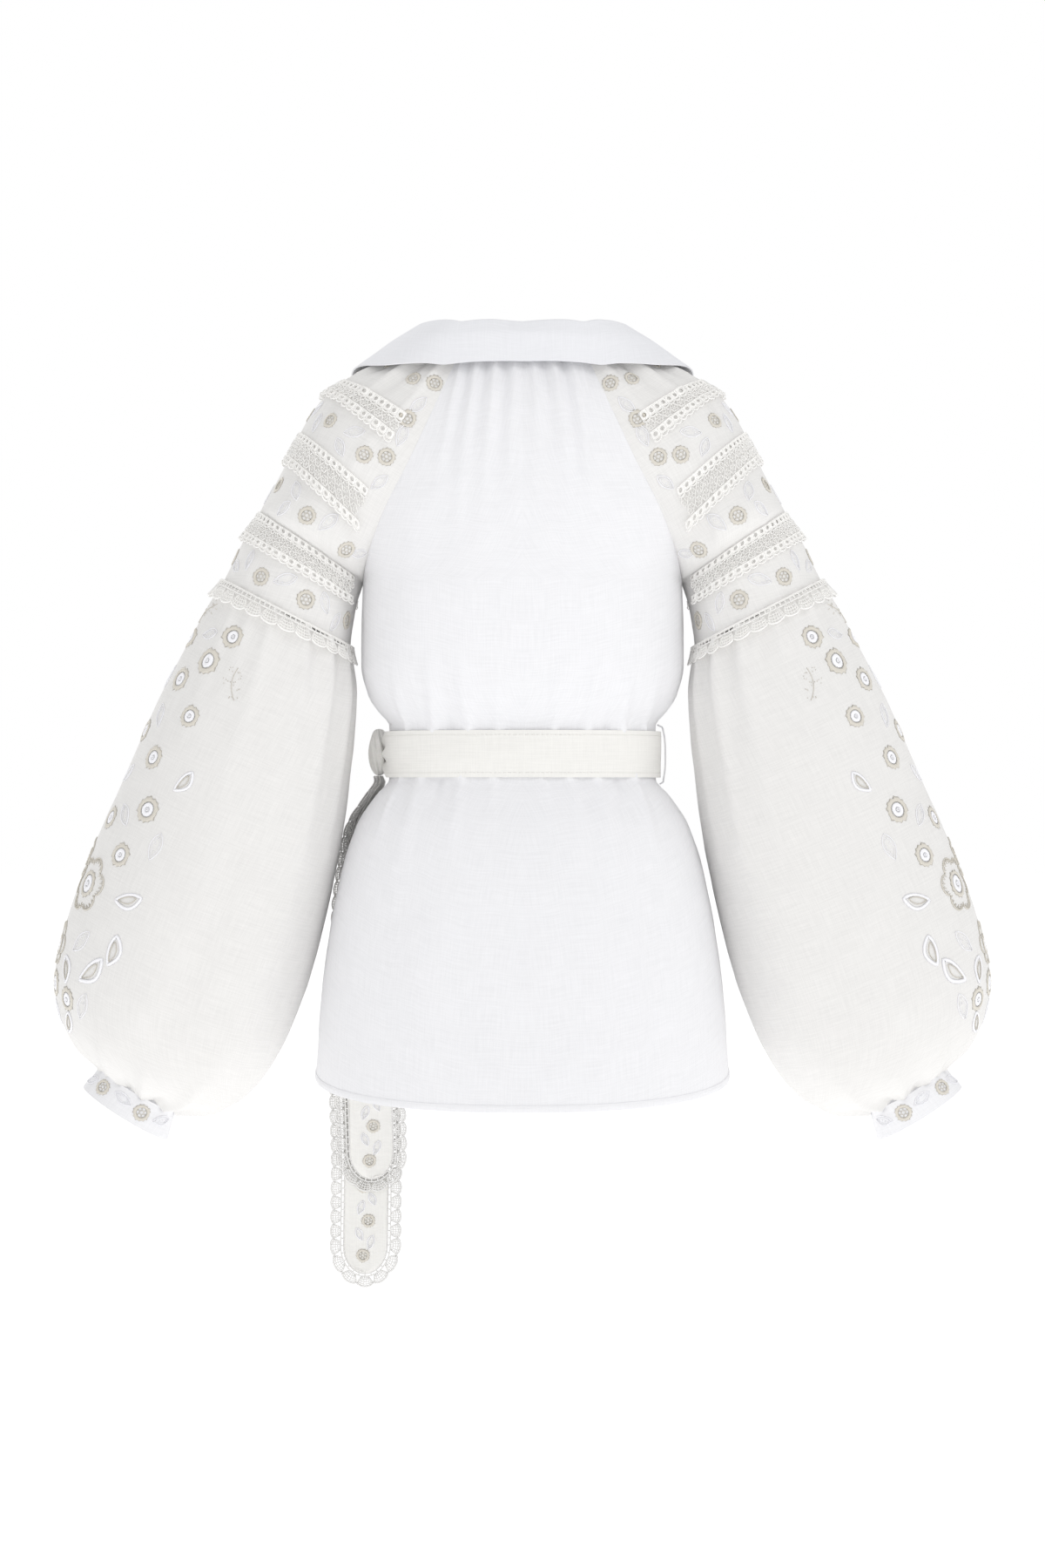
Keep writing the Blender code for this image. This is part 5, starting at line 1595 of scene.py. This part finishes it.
class BLOUSE_OT_belt(bpy.types.Operator):
    """Make the sash round the waist, its knot and the belt loop"""

    bl_idname = "blouse.belt"
    bl_label = "Belt"

    def execute(self, context):
        sizes = context.scene.blouse_sizes
        cloth = belt_cloth()
        piece = make_sheet("linen_belt", cloth, "sash_linen", sizes.doubled)
        dress(piece, "sash_linen", "belt")
        threads = Threads()
        around = float(lengths(cloth.points, 1)[8, -1])

        def lay(u, v):
            return cloth.at(u / around, v, 0.0001)

        for level in (0.10, 0.90):
            stitch_line(threads, lay, 0.02, around - 0.02, level, sizes.stitch)
        seams = threads.make("belt_stitches", (finish("sash_linen"),))
        dress(seams, "sash_linen")
        declare(cloth, 1.05, [seams])
        self.knot()
        self.loop()
        return {"FINISHED"}

    def knot(self):
        """The half knot: cloth wound round in twisting ridges."""
        seat = body_point(np.array(KNOT_ANGLE), *map(np.array, KNOT_SEAT))
        around = np.linspace(0.0, 2.0 * math.pi, 73)
        level = np.linspace(-math.pi / 2.0 + 0.06, math.pi / 2.0 - 0.06, 49)
        ring = np.cos(level)[:, None] ** 0.8
        twist = around[None, :] + 0.55 * np.sin(level)[:, None]
        ridge = 1.0 + 0.09 * np.cos(7.0 * twist) + 0.05 * np.cos(12.0 * twist + 1.0)
        points = stack(seat[0] + KNOT_RADII[0] * ring * np.cos(around)[None, :] * ridge,
                       seat[1] + KNOT_RADII[1] * ring * np.sin(around)[None, :] * ridge,
                       seat[2] + KNOT_RADII[2] * np.sin(level)[:, None] + 0.0 * around[None, :])
        cloth = Cloth(around, level, points, lambda grid: grid - seat)
        piece = make_sheet("linen_knot", cloth, "sash_linen", 0.0010, closed=True)
        dress(piece, "sash_linen", "sash_knot")
        declare(cloth, 1.0)

    def loop(self):
        """The narrow loop at the right side seam."""
        outs, heights = np.array(LOOP_PATH).T
        marks = np.arange(len(LOOP_PATH))
        share = np.linspace(0.0, marks[-1], 33)
        height = np.interp(share, marks, heights)
        out = np.interp(share, marks, outs)
        relax(out, 3)
        across = np.linspace(-1.0, 1.0, 7)
        crown = 0.0003 * (1.0 - across ** 2)
        points = stack((HALF_WIDTH(height) + out)[:, None] + crown[None, :],
                       0.0022 * across[None, :], height[:, None])
        cloth = Cloth(across, share, points, from_axis)
        piece = make_sheet("linen_belt_loop", cloth, "white_linen", 0.0012, -1.0)
        dress(piece, "white_linen", "belt_loop")
        declare(cloth, 1.0)


class BLOUSE_OT_sash(bpy.types.Operator):
    """Make the two sash ends with their lace and flowers"""

    bl_idname = "blouse.sash"
    bl_label = "Sash ends"

    def execute(self, context):
        sizes = context.scene.blouse_sizes
        for number, end in enumerate(SASH_ENDS):
            cloth = sash_cloth(end)
            piece = make_sheet("linen_" + end.name, cloth, "sash_linen", sizes.cloth)
            dress(piece, "sash_linen", end.name)
            motifs = []
            for flower in range(end.flowers):
                down = -end.bottom - 0.030 - flower * 0.034
                if down < 0.44:
                    break
                motifs.append(Motif("ring", 0.12 * (-1) ** flower, down, 0, 7.5))
                motifs.append(Motif("leaf", -0.25 * (-1) ** flower, down - 0.013, 70, 8.5))
                motifs.append(Motif("leaf", 0.30 * (-1) ** flower, down - 0.021, 115, 8.0))
            seed = SEED_NUMBERS["sash"] + number
            flowers = embroider("flowers_" + end.name, cloth, motifs, 1.0, seed)
            shown = [motif for motif in motifs if motif.down > HEM_DEPTH]
            rear = other_side(cloth, sizes.cloth)
            seed = SEED_NUMBERS["sash_rear"] + number
            rear_flowers = embroider("rear_flowers_" + end.name, rear, shown, 1.0, seed)
            declare(cloth, 1.0, [flowers, rear_flowers, self.lace(end)])
        return {"FINISHED"}

    def lace(self, end):
        """A satin cord, a ladder and fans round the whole sash end."""
        total, at = sash_outline(end)
        count = int(round(total / FAN_PITCH))
        threads = Threads()

        def lay(u, v):
            u, v = np.broadcast_arrays(np.asarray(u, float), np.asarray(v, float))
            distance = np.clip(u / count, 0.0, 1.0) * total
            points = at(distance, v)
            normal = from_axis(points)
            step = at(np.clip(distance + 0.002, 0.0, total), v) - at(np.clip(distance - 0.002, 0.0, total), v)
            reach = at(distance, v + 0.001) - at(distance, v - 0.001)
            facing = unit(np.cross(step, reach))
            facing = np.where(np.sum(facing * normal, axis=-1, keepdims=True) < 0.0, -facing, facing)
            return points, facing

        line = np.linspace(0.0, count, count * 4 + 1)
        path, normals = lay(line, np.full(len(line), -0.0016))
        threads.cord((path + normals * 0.0006, normals), 0.0012, 0.0008)
        lay_ladder(threads, lay, count, 0.0003, 0.0040, 2)
        for number in range(count):
            lay_fan(threads, lay, number, 0.0040, SASH_LACE_WIDTH + 0.0002)
        piece = threads.make("lace_" + end.name, (finish("sash_lace"),))
        dress(piece, "ivory_lace", end.name + "_lace")
        return piece


class BLOUSE_OT_stage(bpy.types.Operator):
    """Make the floor, the lights and the camera"""

    bl_idname = "blouse.stage"
    bl_label = "Stage"

    def execute(self, context):
        scene = context.scene
        world = bpy.data.worlds.new("studio")
        world.use_nodes = True
        tree = world.node_tree
        background = tree.nodes["Background"]
        background.inputs["Color"].default_value = (1.0, 1.0, 1.0, 1.0)
        seen = tree.nodes.new("ShaderNodeLightPath").outputs["Is Camera Ray"]
        strength = tree.nodes.new("ShaderNodeMapRange")
        strength.inputs["To Min"].default_value = scene.blouse_sizes.studio
        strength.inputs["To Max"].default_value = 1.0
        tree.links.new(seen, strength.inputs["Value"])
        tree.links.new(strength.outputs["Result"], background.inputs["Strength"])
        scene.world = world
        scene.view_settings.view_transform = "Standard"
        self.floor(scene)
        for name, place, size, power in LIGHTS:
            data = bpy.data.lights.new(name, "AREA")
            data.energy = power
            data.size = size
            light = bpy.data.objects.new(name, data)
            light.location = place
            direction = np.array(LIT_POINT) - np.array(place)
            turn = math.atan2(direction[1], direction[0]) - math.pi / 2.0
            tilt = math.atan2(direction[2], math.hypot(direction[0], direction[1])) + math.pi / 2.0
            light.rotation_euler = (tilt, 0.0, turn)
            scene.collection.objects.link(light)
        data = bpy.data.cameras.new("camera")
        data.lens = scene.blouse_sizes.lens
        data.sensor_width = 36.0
        camera = bpy.data.objects.new("camera", data)
        camera.location = (0.0, CAMERA_DISTANCE, CAMERA_HEIGHT)
        camera.rotation_euler = (math.pi / 2.0, 0.0, math.pi)
        scene.collection.objects.link(camera)
        scene.camera = camera
        return {"FINISHED"}

    def floor(self, scene):
        """A plain pale floor, well below the hem."""
        mesh = bpy.data.meshes.new("floor")
        turns = ((-1, -1), (1, -1), (1, 1), (-1, 1))
        corners = [(x * FLOOR_REACH, y * FLOOR_REACH, FLOOR_HEIGHT) for x, y in turns]
        mesh.from_pydata(corners, [], [(0, 1, 2, 3)])
        mesh.materials.append(Recipe("floor_white").finished({
            "Base Color": (1.0, 1.0, 1.0, 1.0), "Roughness": 1.0, "Specular IOR Level": 0.0,
            "Emission Color": (1.0, 1.0, 1.0, 1.0), "Emission Strength": FLOOR_GLOW}))
        floor = bpy.data.objects.new("floor", mesh)
        scene.collection.objects.link(floor)


class BLOUSE_PT_pieces(bpy.types.Panel):
    """The blouse's pieces, sizes and colours"""

    bl_idname = "BLOUSE_PT_pieces"
    bl_label = "Wrap blouse"
    bl_space_type = "VIEW_3D"
    bl_region_type = "UI"
    bl_category = "Blouse"

    def draw(self, context):
        for operator in OPERATORS:
            self.layout.operator(operator.bl_idname)
        for group in (context.scene.blouse_sizes, context.scene.blouse_colours):
            box = self.layout.box()
            for name in group.__annotations__:
                box.prop(group, name)


GROUPS = (BlouseColours, BlouseSizes)
OPERATORS = (BLOUSE_OT_stage, BLOUSE_OT_body, BLOUSE_OT_collar, BLOUSE_OT_sleeve_lace,
             BLOUSE_OT_sleeves, BLOUSE_OT_belt, BLOUSE_OT_sash)


def register():
    """Register the groups, the operators and the panel."""
    for item in GROUPS + OPERATORS + (BLOUSE_PT_pieces,):
        bpy.utils.register_class(item)
    bpy.types.Scene.blouse_colours = bpy.props.PointerProperty(type=BlouseColours)
    bpy.types.Scene.blouse_sizes = bpy.props.PointerProperty(type=BlouseSizes)


def unregister():
    """Remove what register added."""
    del bpy.types.Scene.blouse_sizes
    del bpy.types.Scene.blouse_colours
    for item in reversed(GROUPS + OPERATORS + (BLOUSE_PT_pieces,)):
        bpy.utils.unregister_class(item)


def main():
    """Make every piece in order."""
    register()
    for operator in OPERATORS:
        group, name = operator.bl_idname.split(".")
        getattr(getattr(bpy.ops, group), name)()


if __name__ == "__main__":
    main()
